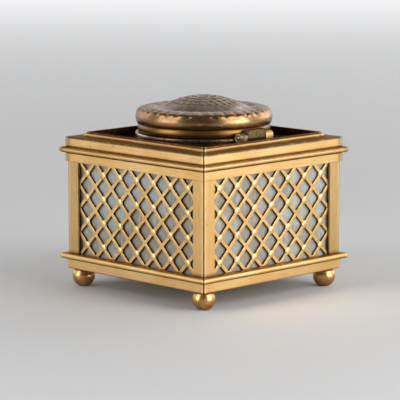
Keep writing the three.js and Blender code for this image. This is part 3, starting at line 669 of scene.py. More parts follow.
base_bead_low = base_high.z - BASE_BEAD_HEIGHT
cornice_bead_low = cornice_low.z + CORNICE_BAND_HEIGHT
cornice_bead_middle = cornice_bead_low + CORNICE_BEAD_HEIGHT / 2
cornice_bead_top = cornice_bead_low + CORNICE_BEAD_HEIGHT
roll_top = cornice_high.z + MOULDING_ROLL_RISE
NO_RISE = (-2, -1)
NO_FALL = (1, 2)


def off(level, *millimetres):
    """Levels given in millimetres from another level."""
    return tuple(level + way * MM for way in millimetres)


gilt_base = gilt_finish("gilt_base", ALONG_RUN, [
    # painted shadow under the bead, with patina
    (Finish.height, off(base_bead_low, -0.65, -0.35), off(base_bead_low, 0.4, 0.7), 0.85, PATINA_AND_SHADE),
    # painted shade along the top, where the grille stands on it, with patina
    (Finish.height, off(base_high.z, -0.45, -0.15), NO_FALL, 0.35, PATINA_AND_SHADE),
    (Finish.height, NO_RISE, off(base_low.z, 0.3, 0.8), 0.5, PATINA_AND_SHADE),
])
gilt_cornice = gilt_finish("gilt_cornice", ALONG_RUN, [
    # painted shadow under the bead, with patina
    (Finish.height, off(cornice_bead_low, -0.65, -0.35), off(cornice_bead_low, 0.4, 0.7), 0.92, PATINA_AND_SHADE),
    # painted dark reflection on the upper half of the bead and the cove above
    (Finish.height, off(cornice_bead_middle, 0.25, 0.6), off(cornice_bead_top, 0, 0.7), 0.6, PATINA_AND_SHADE),
    (Finish.towards_hinge_corner, off(0, -5, -1.5), off(0, 1.5, 5), 0.55, PURPLE_PATINA_AND_SHADE),
    # painted dark reflection along the top edge
    (Finish.height, off(cornice_high.z, -1.25, -0.6), NO_FALL, 0.92, PURPLE_PATINA_AND_SHADE),
    # painted dark reflection on the flat top, of the moulding beside it
    (Finish.height, off(cornice_high.z, -0.08, -0.02), NO_FALL, 0.9, OLIVE_BROWN),
    # painted shade on the ledge inside, in the recess
    (Finish.reach, NO_RISE, off(moulding_high.x, -3.2, -2.5), 0.93, PATINA_AND_SHADE),
])
gilt_upper = gilt_finish("gilt_upper", ALONG_RUN, [
    # painted shade on the outer face, below the roll
    (Finish.height, NO_RISE, off(roll_top, -0.8, -0.15), 0.75, DARK_BRONZE),
    # painted shadow along the foot, where it stands on the cornice
    (Finish.height, NO_RISE, off(cornice_high.z, 0, 0.35), 0.8, PATINA_AND_SHADE),
    # painted shade on the step and lip above the roll
    (Finish.height, off(roll_top, -0.1, 0.1), NO_FALL, 0.9, PATINA_AND_SHADE),
    # painted shade on the inner face, in the recess
    (Finish.reach, NO_RISE, off(moulding_high.x, -1.2, -0.95), 0.92, PATINA_AND_SHADE),
])
gilt_post = gilt_finish("gilt_post", UPRIGHT, [
    (Finish.height, NO_RISE, off(base_high.z, 0.7, 2.1), 0.6, PURPLE_PATINA_AND_SHADE),
    # painted shade: darker away from the corner of +X and +Y
    (Finish.towards_hinge_corner, NO_RISE, off(0, 20, 140), 0.5, FAR_POST_SHADE),
])
gilt_fret = gilt_finish("gilt_fret", ALL_WAYS, [
    (Finish.reach, NO_RISE, off(grille_high.y, -0.42, -0.14), 0.95, PATINA_AND_SHADE),
], mitred=False)


def foot_finish():
    """Polished bronze-gold, going brown towards the desk."""
    f = Finish("foot_brass")
    low = f.between(f.height(), 1 * MM, 7 * MM, 1, 0)
    mottle = f.noise(3.2 * MM, detail=5)
    colour = f.mix(f.between(mottle, 0.4, 0.65, 0, 0.5), (0.74, 0.43, 0.16), (0.52, 0.26, 0.09))
    colour = f.mix(f.times(low, f.between(mottle, 0.25, 0.6, 0.4, 0.8)), colour, (0.26, 0.13, 0.06))
    scratches = f.noise(0.5 * MM, detail=5, stretch=(0.2, 0.2, 1), shift=2)
    f.set(base_color=colour, metallic=1.0, roughness=f.between(scratches, 0.3, 0.7, 0.26, 0.40),
          normal=f.bump(f.sum(scratches, mottle), 0.01 * MM))
    return f.material


def lid_finish():
    """Brown bronze: dusty grey in the relief on top, rubbed golden round the rolled side."""
    f = Finish("lid_bronze")
    height = f.height()
    on_top = f.between(f.from_axis(), LID_CREST_RADIUS + 0.8 * MM, LID_CREST_RADIUS + 3 * MM, 1, 0)
    mottle = f.noise(7 * MM, detail=5)
    fine = f.noise(1.2 * MM, detail=4, shift=4.1)
    side = f.mix(f.between(mottle, 0.35, 0.65), (0.38, 0.22, 0.10), (0.26, 0.15, 0.068))
    lower = f.between(height, lid_bottom + 4 * MM, lid_bottom + 7 * MM, 1, 0)
    side = f.mix(f.times(lower, 0.7), side, (0.42, 0.22, 0.065))
    # painted shade: the small ring under the rolled side made darker
    ring = f.between(height, lid_bottom + LID_GROOVE_LEVEL - 0.5 * MM, lid_bottom + LID_GROOVE_LEVEL, 1, 0)
    side = f.mix(f.times(ring, 0.9), side, (0.20, 0.10, 0.025))
    # painted shade in the groove
    groove = f.band(height, (lid_bottom + 3.2 * MM, lid_bottom + 3.7 * MM),
                    (lid_bottom + 4 * MM, lid_bottom + 4.7 * MM))
    side = f.mix(f.times(groove, 0.7), side, (0.12, 0.06, 0.025))
    top = f.mix(f.between(mottle, 0.35, 0.7), (0.52, 0.43, 0.36), (0.29, 0.22, 0.165))
    # painted shade: the dome darker towards its middle
    inner = f.between(f.from_axis(), 0.7 * LID_DOME_RADIUS, LID_VALLEY_RADIUS, 1, 0)
    top = f.mix(f.times(inner, 0.65), top, (0.30, 0.215, 0.13))
    colour = f.mix(on_top, side, top)
    hollow = f.between(f.crevice(1.2 * MM, only_local=True), 0.08, 0.4)
    colour = f.mix(f.times(hollow, 0.9), colour, (0.075, 0.042, 0.022))
    worn = f.between(f.edge(0.5 * MM), 0.35, 0.7)
    colour = f.mix(f.times(worn, 0.45), colour, (0.78, 0.60, 0.38))
    spots = f.times(f.between(f.spots(6 * MM), 0.05, 0.12, 1, 0), f.between(mottle, 0.5, 0.6))
    colour = f.mix(f.times(spots, 0.5), colour, (0.09, 0.05, 0.03))
    rough = f.sum(f.between(on_top, 0, 1, 0.24, 0.38), f.between(mottle, 0.35, 0.7, 0, 0.08))
    rough = f.sum(rough, f.times(lower, 0.08))
    f.set(base_color=colour, metallic=1.0, roughness=rough,
          normal=f.bump(f.sum(f.times(mottle, 1.4), f.times(fine, 0.2)), 0.03 * MM))
    return f.material


def worn_finish(name, metal, worn, dark_tint, roughness, stain_share=0.5, worn_and_sheen_end=None):
    """Handled brass: stained in patches and crevices and rubbed pale on its edges.

    The worn and sheen end is (start, full, colour): from one x - y to another the metal is painted that
    colour, as wear on the hinge and as a painted highlight on the collar.
    """
    f = Finish(name)
    patches = f.noise(2.4 * MM, detail=6, roughness=0.6)
    fine = f.noise(0.7 * MM, detail=4, shift=1.9)
    colour = f.mix(f.between(fine, 0.4, 0.7, 0, 0.4), metal, worn)
    colour = f.mix(f.between(patches, 0.5, 0.62, 0, stain_share), colour, dark_tint)
    colour = f.mix(f.times(f.between(f.edge(0.45 * MM), 0.35, 0.7), 0.5), colour, worn)
    if worn_and_sheen_end:
        start, full, worn_and_sheen_metal = worn_and_sheen_end
        towards_end = f.sum(f.axis("X"), f.times(f.axis("Y"), -1))
        rubbed_and_sheen = f.times(f.between(towards_end, start, full), f.between(fine, 0.3, 0.6, 0.6, 0.95))
        colour = f.mix(rubbed_and_sheen, colour, worn_and_sheen_metal)
    dirt = f.between(f.crevice(0.9 * MM), 0.3, 0.7)
    colour = f.mix(f.times(dirt, 0.85), colour, PATINA_AND_SHADE)
    f.set(base_color=colour, metallic=1.0, roughness=f.between(patches, 0.3, 0.7, *roughness),
          specular_tint=GRAZING_TINT, normal=f.bump(f.sum(patches, fine), 0.03 * MM))
    return f.material


def opal_finish(name, cool, green, warm, level):
    """Streaky opalescent glass: milky swirls of several tints under a rippled, glossy skin."""
    f = Finish(name)
    swirl = f.noise(30 * MM, detail=4, distortion=1.6, stretch=(1, 1, 0.8))
    streak = f.noise(6 * MM, detail=5, shift=2.2, distortion=2.2, stretch=(1, 1, 0.4))
    towards_corner = f.times(f.towards_hinge_corner(), 11.0)
    warmth = f.sum(f.between(swirl, 0.3, 0.7), f.sum(towards_corner, -0.5))
    colour = f.mix(f.between(swirl, 0.35, 0.62), cool, green)
    colour = f.mix(f.between(warmth, 0.1, 0.9), colour, warm)
    colour = f.mix(f.between(streak, 0.52, 0.74, 0, 0.5), colour, level)
    ripple = f.noise(9 * MM, detail=2, shift=7.7)
    f.set(base_color=colour, roughness=f.between(streak, 0.3, 0.7, 0.16, 0.34), ior=1.52,
          coat_weight=0.4, coat_roughness=0.08,
          normal=f.bump(f.sum(ripple, f.times(streak, 0.15)), 0.5 * MM))
    return f.material


def clear_finish():
    """Clear pressed glass with a few seeds and a faint green tint."""
    f = Finish("clear_glass")
    ripple = f.noise(12 * MM, detail=2)
    seeds = f.between(f.spots(4 * MM), 0.02, 0.07, 1, 0)
    colour = f.mix(f.between(ripple, 0.3, 0.7), (0.93, 0.97, 0.955), (0.86, 0.93, 0.91))
    f.set(base_color=colour, roughness=f.between(seeds, 0, 1, 0.02, 0.3), transmission_weight=1.0,
          ior=1.5, normal=f.bump(f.sum(ripple, seeds), 0.12 * MM))
    return f.material


foot_brass = foot_finish()
lid_bronze = lid_finish()
hinge_brass = worn_finish("hinge_brass", (0.25, 0.175, 0.09), (0.42, 0.33, 0.20), (0.05, 0.052, 0.042),
                          (0.36, 0.5), stain_share=0.85,
                          worn_and_sheen_end=(-40 * MM, -43 * MM, (0.70, 0.46, 0.18)))
lid_leaf_brass = worn_finish("lid_leaf_brass", (0.16, 0.105, 0.05), (0.27, 0.19, 0.10),
                             (0.045, 0.035, 0.022), (0.34, 0.48), stain_share=0.85)
# painted highlight: the collar pale on its +X side
collar_brass = worn_finish("collar_brass", (0.20, 0.125, 0.08), (0.48, 0.37, 0.30), (0.05, 0.035, 0.025),
                           (0.28, 0.5), stain_share=0.8,
                           worn_and_sheen_end=(36 * MM, 45 * MM, (0.92, 0.82, 0.74)))
inner_brass = worn_finish("inner_brass", (0.50, 0.34, 0.14), (0.66, 0.48, 0.24), (0.18, 0.13, 0.07),
                          (0.36, 0.55))
# Painted shade: the top plate nearly black, for the shade in the recess
plate_in_painted_shade = worn_finish("plate_in_painted_shade", (0.060, 0.034, 0.017), (0.11, 0.09, 0.06), (0.035, 0.050, 0.050),
                         (0.34, 0.55))
steel = worn_finish("steel", (0.26, 0.23, 0.18), (0.48, 0.44, 0.37), (0.10, 0.06, 0.035), (0.32, 0.48))
side_glass = opal_finish("side_glass", (0.385, 0.415, 0.405), (0.38, 0.385, 0.33), (0.29, 0.262, 0.21),
                         (0.53, 0.52, 0.45))
top_glass = opal_finish("top_glass", (0.13, 0.19, 0.20), (0.16, 0.20, 0.17), (0.14, 0.15, 0.14),
                        (0.34, 0.38, 0.38))
clear_glass = clear_finish()


# Base, cornice and moulding

def make_base():
    half = post_half + BASE_STEP
    low, high = base_low.z, base_high.z
    bead = BASE_BEAD_HEIGHT / 2
    rebate_half = post_half - POST_WALL
    ledge = high - WALL_REBATE
    inner = rebate_half - LEDGE_INSET
    profile = [
        *filleted([(inner, low + BASE_GUIDE, 0), (inner + FLOOR_REBATE, low), (half, low, BASE_EDGE),
                   (half, base_bead_low), (half + GUIDE, base_bead_low, 0)])[1:-1],
        *arc((bead_half - bead, base_bead_low + bead), (bead, bead), -90, 90, 14),
        *filleted([(bead_half - bead, high, 0), (rebate_half, high), (rebate_half, ledge), (inner, ledge),
                   (inner, low + FLOOR_RELIEF), (inner + FLOOR_REBATE, low + FLOOR_RELIEF),
                   (inner + FLOOR_REBATE, low, 0)])[1:-1],
    ]
    mesh = frame_mesh(profile, bead_half - CORNER_BAND)
    piece("base_moulding", mesh, gilt_base, "case", "base_frame")


def make_cornice():
    half = post_half + CORNICE_STEP
    low, high = cornice_low.z, cornice_high.z
    bead = CORNICE_BEAD_HEIGHT / 2
    rebate_half = post_half - POST_WALL
    rim_inner = half - TOP_RIM_WIDTH
    ledge_top = high - LEDGE_LEVEL
    ledge_low = ledge_top - LEDGE_THICKNESS
    ledge_inner = rim_inner - LEDGE_WIDTH
    inner = rebate_half - LEDGE_INSET
    stop = low + WALL_REBATE
    cove = (half - CORNICE_COVE_DEPTH, cornice_bead_top + EDGE)
    cove_bend = (half - 0.6 * CORNICE_COVE_DEPTH, cornice_bead_top + 0.3 * CORNICE_COVE_HEIGHT)
    profile = [
        *filleted([(rebate_half, low, 0), (half, low), (half, cornice_bead_low),
                   (half + GUIDE, cornice_bead_low, 0)])[1:-1],
        *arc((bead_half - bead, cornice_bead_low + bead), (bead, bead), -90, 90, 12),
        cove,
        *smooth_curve([cove, cove_bend, (half, cornice_bead_top + CORNICE_COVE_HEIGHT)], 5),
        *arc((half - CORNICE_EDGE, high - CORNICE_EDGE), (CORNICE_EDGE, CORNICE_EDGE), 0, 90, 5),
        *filleted([(half - CORNICE_EDGE, high, 0), (rim_inner, high), (rim_inner, ledge_top),
                   (ledge_inner, ledge_top), (ledge_inner, ledge_low), (inner, ledge_low), (inner, stop),
                   (rebate_half, stop), (rebate_half, low), (half, low, 0)])[1:-1],
    ]
    mesh = frame_mesh(profile, bead_half - CORNER_BAND)
    piece("cornice_moulding", mesh, gilt_cornice, "case", "cornice_frame")


def make_top_moulding():
    outer = moulding_high.x
    inner = outer - MOULDING_WIDTH
    low, high = moulding_low.z, moulding_high.z
    lip = outer - MOULDING_ROLL_WIDTH
    profile = filleted([(inner, low), (outer, low), (outer, roll_top, MOULDING_ROUND),
                        (lip, roll_top, 0), (lip, high, MOULDING_LIP_ROUND),
                        (inner, high, MOULDING_LIP_ROUND)], 6)
    mesh = frame_mesh(profile, outer - MOULDING_CORNER_BAND)
    piece("upper_moulding", mesh, gilt_upper, "case", "top_moulding")


# Posts and feet

def post_outline():
    """An angle section at the corner of +X and +Y, rounded outside, with the seam in its corner."""
    outer, inner = post_half, post_half - POST_WIDTH
    wall = outer - POST_WALL
    centre = outer - CORNER_ROUND
    seam = outer - CORNER_ROUND * (1 - math.sqrt(0.5)) - SEAM_DEPTH
    limit = 45 - SEAM_HALF_ANGLE
    return [
        *filleted([(outer, outer, 0), (inner, outer), (inner, wall), (wall, wall),
                   (wall, inner), (outer, inner), (outer, outer, 0)])[1:-1],
        *arc((centre, centre), (CORNER_ROUND, CORNER_ROUND), 0, limit, 4),
        (seam, seam),
        *arc((centre, centre), (CORNER_ROUND, CORNER_ROUND), 90 - limit, 90, 4),
    ]


def foot_profile():
    flat, seat = (math.degrees(math.acos(r / FOOT_RADIUS)) for r in (FOOT_FLAT_RADIUS, FOOT_SEAT_RADIUS))
    stud_top = foot_high.z
    ball_centre = math.sqrt(FOOT_RADIUS ** 2 - FOOT_FLAT_RADIUS ** 2)
    ball = arc((0, ball_centre), (FOOT_RADIUS, FOOT_RADIUS), -flat, seat, 36)
    return [(0, 0), *ball, (STUD_RADIUS, base_low.z), (STUD_RADIUS, stud_top - EDGE),
            (STUD_RADIUS - EDGE, stud_top), (0, stud_top)]


def make_corners():
    """Posts and feet, each a quarter turn on from the one before."""
    foot_centre = (foot_low.x + foot_high.x) / 2
    for turn, corner in enumerate(["back_right", "back_left", "front_left", "front_right"]):
        turning = Matrix.Rotation(turn * math.pi / 2, 4, "Z")
        post = prism_mesh(post_outline(), post_low.z, post_high.z, EDGE / 2)
        post.transform(turning)
        piece(f"{corner}_post", post, gilt_post, "case", f"corner_post_{corner}")
        foot = turned_mesh(foot_profile(), FOOT_STEPS, closed=False)
        foot.transform(turning @ Matrix.Translation((foot_centre, foot_centre, 0)))
        piece(f"{corner}_foot", foot, foot_brass, "case", f"foot_{corner}")


# Grilles

def trellis_openings(width, height):
    """Outlines of the holes: bars along the diagonals of each cell, round a boss in its middle."""
    half_x = width / TRELLIS_COLUMNS / 2
    half_y = height / TRELLIS_ROWS / 2
    diagonal = math.hypot(half_x, half_y)
    inset = 1 - (TRELLIS_BAR / 2) * diagonal / (half_x * half_y)
    offsets = [Vector((half_x, 0)), Vector((0, half_y)), Vector((-half_x, 0)), Vector((0, -half_y))]

    def hole(x, y, bosses_above):
        centre = Vector((x, y))
        tips = [centre + offset for offset in offsets]
        corners = []
        for i, tip in enumerate(tips):
            beyond_x = tip.x < -half_x / 2 or tip.x > width + half_x / 2
            beyond_y = tip.y < -half_y / 2 or tip.y > height + half_y / 2
            if beyond_x or beyond_y:
                continue
            if (i % 2 == 1) == bosses_above:
                corners.extend(boss_side(centre, tip, (tips[i - 1], tips[(i + 1) % 4])))
            else:
                corners.append((*centre.lerp(tip, inset), FRET_FILLET))
        return filleted(corners)

    def boss_side(centre, boss, next_tips):
        """The side of a hole that follows a boss, between the bars on either side."""
        reach = math.sqrt(BOSS_RADIUS ** 2 - (TRELLIS_BAR / 2) ** 2)
        ends = []
        for tip in next_tips:
            along = (tip - boss).normalized()
            towards = Vector((-along.y, along.x))
            if towards.dot(centre - boss) < 0:
                towards = -towards
            ends.append(along * reach + towards * (TRELLIS_BAR / 2))
        steps = 5
        return [(*(boss + ends[0].lerp(ends[1], k / steps).normalized() * BOSS_RADIUS), 0)
                for k in range(steps + 1)]

    holes = []
    for column in range(TRELLIS_COLUMNS + 1):
        for row in range(TRELLIS_ROWS + 1):
            x, y = column * 2 * half_x, row * 2 * half_y
            if column < TRELLIS_COLUMNS:
                holes.append(hole(x + half_x, y, True))
            if row < TRELLIS_ROWS:
                holes.append(hole(x, y + half_y, False))
    return holes


def plate_from_outlines(outlines, thickness, bevel):
    """A flat plate in the XY plane, centred on it, from an outline and its holes."""
    curve = bpy.data.curves.new("plate", "CURVE")
    curve.dimensions = "2D"
    curve.fill_mode = "BOTH"
    curve.extrude = thickness / 2 - bevel
    curve.bevel_depth = bevel
    curve.bevel_resolution = 1
    curve.offset = -bevel
    for outline in outlines:
        spline = curve.splines.new("POLY")
        spline.points.add(len(outline) - 1)
        spline.use_cyclic_u = True
        for point, (x, y) in zip(spline.points, outline):
            point.co = (x, y, 0, 1)
    obj = linked("plate", curve)
    graph = bpy.context.evaluated_depsgraph_get()
    mesh = bpy.data.meshes.new_from_object(obj.evaluated_get(graph))
    bpy.data.objects.remove(obj)
    bpy.data.curves.remove(curve)
    return cleaned(mesh, PLATE_WELD)


def grille_mesh():
    """One pierced plate lying in the XY plane, its front towards +Z, with a domed boss in each cell."""
    half = grille_high.x
    low, high = grille_low.z, grille_high.z
    thickness = grille_high.y - grille_low.y
    field_half = post_half - POST_WIDTH + OPENING_REVEAL
    field_low = base_high.z - OPENING_REVEAL
    field_high = cornice_low.z + OPENING_REVEAL
    width, height = 2 * field_half, field_high - field_low
    outline = filleted([(-half, low), (half, low), (half, high), (-half, high)])
    holes = [[(x - field_half, y + field_low) for x, y in hole] for hole in trellis_openings(width, height)]
    plate = plate_from_outlines([outline, *holes], thickness, FRET_BEVEL)
    dome = arc((0, 0), (BOSS_RADIUS - BOSS_DOME_INSET, BOSS_RISE), 0, 90, 8)[:-1]
    boss = turned_mesh([(0, -thickness / 2), (BOSS_RADIUS - BOSS_ROOT_INSET, -thickness / 2), *dome,
                        (0, BOSS_RISE)], BOSS_STEPS, closed=False)
    made = bmesh.new()
    made.from_mesh(plate)
    for column in range(TRELLIS_COLUMNS):
        for row in range(TRELLIS_ROWS):
            x = (column + 0.5) * width / TRELLIS_COLUMNS - field_half
            y = (row + 0.5) * height / TRELLIS_ROWS + field_low
            copy = boss.copy()
            copy.transform(Matrix.Translation((x, y, thickness / 2)))
            made.from_mesh(copy)
            bpy.data.meshes.remove(copy)
    made.to_mesh(plate)
    made.free()
    return plate


def make_grilles():
    """The plate is stood up on each side, facing out."""
    flat = grille_mesh()
    middle = (grille_low.y + grille_high.y) / 2
    standing = Matrix.Translation((0, -middle, 0)) @ Matrix.Rotation(math.pi / 2, 4, "X")
    for turn, side in enumerate(["front", "right", "back", "left"]):
        mesh = flat.copy()
        mesh.transform(Matrix.Rotation(turn * math.pi / 2, 4, "Z") @ standing)
        piece(f"{side}_grille", mesh, gilt_fret, "case", f"grille_{side}")


# Lid

def lid_profile(steps, ringed=False):
    """The lid from the rim up, as (radius, height), plain or with the small ring under its rolled side."""
    roll_centre = lid_radius - LID_ROLL_DEPTH
    roll_level = lid_bottom + LID_ROLL_LEVEL
    side_top = roll_level + LID_ROLL_UPPER
    crest = side_top + LID_CREST_RISE
    if ringed:
        ring_centre = (lid_radius - LID_RING_INSET - LID_RING_DEPTH, lid_bottom + LID_RING_LEVEL)
        undercut = (LID_UNDERCUT, LID_ROLL_LEVEL - LID_GROOVE_LEVEL)
        skirt = [*arc(ring_centre, (LID_RING_DEPTH, LID_RING_LEVEL), -90, LID_RING_TURN, 2 * steps),
                 *arc((lid_radius - LID_UNDERCUT, roll_level), undercut, -LID_UNDERCUT_TURN, 0, 2 * steps)]
    else:
        rim = lid_radius - LID_RIM_INSET
        rim_angle = math.degrees(math.acos((rim - roll_centre) / LID_ROLL_DEPTH))
        skirt = [(rim, lid_bottom),
                 *arc((roll_centre, roll_level), (LID_ROLL_DEPTH, LID_ROLL_LOWER), -rim_angle, 0, 2 * steps)]
    brow = smooth_curve([(roll_centre, side_top), (LID_CREST_RADIUS, crest),
                         (LID_VALLEY_RADIUS, crest - LID_VALLEY_DROP),
                         (LID_DOME_RADIUS, dome_top - LID_DOME_RISE)], 2 * steps)
    dome_steps = 6 * steps
    dome = [(LID_DOME_RADIUS * (1 - k / dome_steps), dome_top - LID_DOME_RISE * (1 - k / dome_steps) ** 2)
            for k in range(1, dome_steps + 1)]
    return [
        *skirt,
        *arc((roll_centre, roll_level), (LID_ROLL_DEPTH, LID_ROLL_UPPER), 0, 90, 3 * steps)[1:],
        *brow,
        *dome,
    ]


def scale_relief(radius, turn):
    """Height of overlapping scales in rows round the dome, each row lapping the one outside it."""
    if radius < BUTTON_RADIUS:
        return 0.0
    first = BUTTON_RADIUS - SCALE_UNDER_SHARE * SCALE_ROW
    row = int((radius - first) / SCALE_ROW)
    for k in range(max(0, row - 1), row + 1):
        start = first + k * SCALE_ROW
        middle = start + SCALE_ROW
        count = max(SCALE_FEWEST, round(2 * math.pi * middle / (SCALE_ROW * SCALE_WIDTH_SHARE)))
        sideways = 2 * ((turn / (2 * math.pi) * count + (k % 2) / 2) % 1) - 1
        forward = SCALE_TIP_SHARE * math.sqrt(1 - sideways ** 2) - SCALE_BACK_SHARE
        tip = middle + SCALE_ROW * forward
        if radius <= tip:
            along = (radius - start) / (tip - start)
            crown = 1 - SCALE_SIDE_SHARE * sideways ** 2
            return SCALE_LIFT * (SCALE_ROOT_SHARE + (1 - SCALE_ROOT_SHARE) * along) * crown
    return 0.0


def tongue_relief(radius, height, turn):
    """Height of the tongues round the crest, whose round ends hang over the rolled side."""
    sideways = abs(2 * (turn / (2 * math.pi) * TONGUE_COUNT % 1) - 1)
    if radius < TONGUE_INNER or sideways > TONGUE_WIDTH_SHARE:
        return 0.0
    rise = min(1.0, (radius - TONGUE_INNER) / TONGUE_START)
    if radius >= LID_CREST_RADIUS:
        end = lid_bottom + LID_ROLL_LEVEL + LID_ROLL_UPPER - TONGUE_DROP
        end -= TONGUE_TIP * math.sqrt(1 - sideways ** 2)
        way = min(1.0, max(0.0, (height - end) / TONGUE_SOFT))
        rise *= way * way * (3 - 2 * way)
    crown = math.sqrt(1 - (sideways / TONGUE_WIDTH_SHARE) ** 2)
    rib = RIB_LIFT_SHARE * max(0.0, 1 - sideways / RIB_WIDTH_SHARE)
    return TONGUE_LIFT * (crown - rib) * rise


def lid_relief(radius, height, turn):
    """How far the relief stands out of the plain outside of the lid."""
    if radius > LID_DOME_RADIUS:
        return tongue_relief(radius, height, turn)
    lift = scale_relief(radius, turn) - SCALE_SINK_SHARE * SCALE_LIFT
    return lift * min(1.0, (LID_DOME_RADIUS - radius) / SCALE_FADE)


def make_lid():
    outside = lid_profile(12, ringed=True)
    normals = [outward(outside, i, closed=False) for i in range(len(outside))]
    inside = drawn_in(lid_profile(4), LID_WALL, closed=False)
    inside[0] = (outside[0][0] - LID_WALL, lid_bottom)
    inside[-1] = (0, dome_top - LID_WALL)
    profile = [*inside[::-1], *outside]

    def with_relief(i, turn):
        radius, height = profile[i]
        if i < len(inside):
            return radius, height
        lift = lid_relief(radius, height, turn)
        normal = normals[i - len(inside)]
        return radius + normal.x * lift, height + normal.y * lift

    mesh = turned_mesh(profile, LID_STEPS, closed=False, shaped=with_relief)
    notch_half = HINGE_HALF + SWING_GAP
    notch = rod_on_hinge(BARREL_RADIUS + SWING_GAP, -notch_half, notch_half, BARREL_STEPS)
    piece("embossed_lid", cut(mesh, notch), lid_bronze, "lid", "lid_shell",
          sharp_from=LID_SHARP_FROM)


# Collar, ink pot and hinge

def make_collar():
    outer = collar_high.x
    top, low = collar_high.z, collar_low.z
    rim = outer - LID_RIM_INSET
    neck = rim - COLLAR_SHOULDER
    bore = neck - COLLAR_WALL
    seat_bore = bore - COLLAR_SEAT_WIDTH
    seat = top - COLLAR_SEAT_DEPTH
    seat_low = seat - COLLAR_SEAT_THICKNESS
    shoulder = top - COLLAR_PLATE_GAP
    under = top - COLLAR_FLANGE
    profile = filleted([
        (neck, low), (neck, shoulder, 0), (rim, shoulder), (rim, under),
        (outer, under, COLLAR_FLANGE_ROUND), (outer, top, COLLAR_FLANGE_ROUND),
        (bore, top), (bore, seat), (seat_bore, seat), (seat_bore, seat_low), (bore, seat_low), (bore, low),
    ], 4)
    notch_half = HINGE_HALF + SWING_GAP
    notch_front = hinge_y - BARREL_RADIUS - SWING_GAP
    notch = block_mesh((-notch_half, notch_front, under), (notch_half, outer + OVERRUN, top + OVERRUN))
    mesh = cut(turned_mesh(profile, COLLAR_STEPS, closed=True), notch)
    piece("collar", mesh, collar_brass, "case", "collar_ring")


def make_pot():
    brim_radius = pot_high.x
    body = brim_radius - POT_BODY_INSET
    bore = body - POT_WALL
    top, bottom = pot_high.z, pot_low.z
    brim_bottom = top - POT_BRIM
    funnel_bottom = top - POT_FUNNEL_DEPTH
    throat_bottom = funnel_bottom - POT_THROAT
    floor = bottom + POT_BASE
    edge = 3 * EDGE
    profile = [
        (0, bottom),
        *arc((body - POT_ROUND, bottom + POT_ROUND), (POT_ROUND, POT_ROUND), -90, 0, 8),
        *filleted([(body, bottom, 0), (body, brim_bottom), (brim_radius, brim_bottom, edge),
                   (brim_radius, top, edge), (brim_radius - POT_BRIM_WIDTH, top, edge),
                   (POT_MOUTH_RADIUS, funnel_bottom, edge), (POT_MOUTH_RADIUS, throat_bottom, 0)], 4)[1:-1],
        *arc((POT_MOUTH_RADIUS + edge, throat_bottom + edge), (edge, edge), 180, 270, 3),
        *arc((bore - POT_SHOULDER, throat_bottom - POT_SHOULDER), (POT_SHOULDER, POT_SHOULDER), 90, 0, 10),
        *arc((bore - POT_ROUND, floor + POT_ROUND), (POT_ROUND, POT_ROUND), 0, -90, 8),
        (0, floor),
    ]
    mesh = turned_mesh(profile, POT_STEPS, closed=False)
    piece("ink_pot", mesh, clear_glass, "case", "glass_ink_pot")


def knuckle(first, last):
    """A tube on the hinge axis, with softened ends."""
    length = last - first
    profile = filleted([(PIN_BORE, 0), (BARREL_RADIUS, 0), (BARREL_RADIUS, length),
                        (PIN_BORE, length)], 2)
    return on_hinge(turned_mesh(profile, BARREL_STEPS, closed=True), first)


def make_fixed_leaf():
    bottom, top = leaf_low.z, leaf_low.z + LEAF_THICKNESS
    web_back = hinge_y + BARREL_RADIUS
    web_front = web_back - WEB_THICKNESS
    inner = CENTRE_HALF + SEAT_GAP
    leaf = block_mesh((-HINGE_HALF, web_back + SWING_GAP, bottom), (HINGE_HALF, leaf_high.y, top))
    for first, last in ((-HINGE_HALF, -inner), (inner, HINGE_HALF)):
        ear = block_mesh((first, web_front, bottom), (last, web_back + EAR_LAP, top))
        web = block_mesh((first, web_front, bottom), (last, web_back, hinge_z))
        leaf = joined(leaf, knuckle(first, last), ear, web)
    bore = rod_on_hinge(PIN_BORE, -HINGE_HALF - OVERRUN, HINGE_HALF + OVERRUN, BORE_STEPS)
    piece("hinge_leaf_on_case", cut(leaf, bore), hinge_brass, "case", "hinge_fixed_leaf")


def make_lid_leaf():
    """The middle knuckle and the tongue that is soldered up the side of the lid."""
    roll_centre = lid_radius - LID_ROLL_DEPTH
    tongue = block_mesh((-CENTRE_HALF, lid_leaf_low.y + LID_LEAF_SETBACK, hinge_z),
                        (CENTRE_HALF, lid_leaf_high.y, lid_leaf_high.z))
    outline = [(0, lid_bottom - SEAT_GAP)]
    for r, z in lid_profile(6):
        outline.append((r + SEAT_GAP, z) if r > roll_centre else (r, z + SEAT_GAP))
    shield = rod_on_hinge(BARREL_RADIUS + SEAT_GAP, -HINGE_HALF, HINGE_HALF, BARREL_STEPS)
    lid_space = cut(turned_mesh(outline, COLLAR_STEPS, closed=False), shield)
    bore = rod_on_hinge(PIN_BORE, -HINGE_HALF, HINGE_HALF, BORE_STEPS)
    leaf = cut(joined(tongue, knuckle(-CENTRE_HALF, CENTRE_HALF)), lid_space, bore)
    piece("hinge_leaf_on_lid", leaf, lid_leaf_brass, "lid", "lid_hinge_leaf")


def make_pin():
    radius = (pin_high.z - pin_low.z) / 2
    pin = rod_on_hinge(radius, pin_low.x, pin_high.x, SCREW_STEPS, PIN_EDGE)
    piece("pin", pin, steel, "case", "hinge_pin")


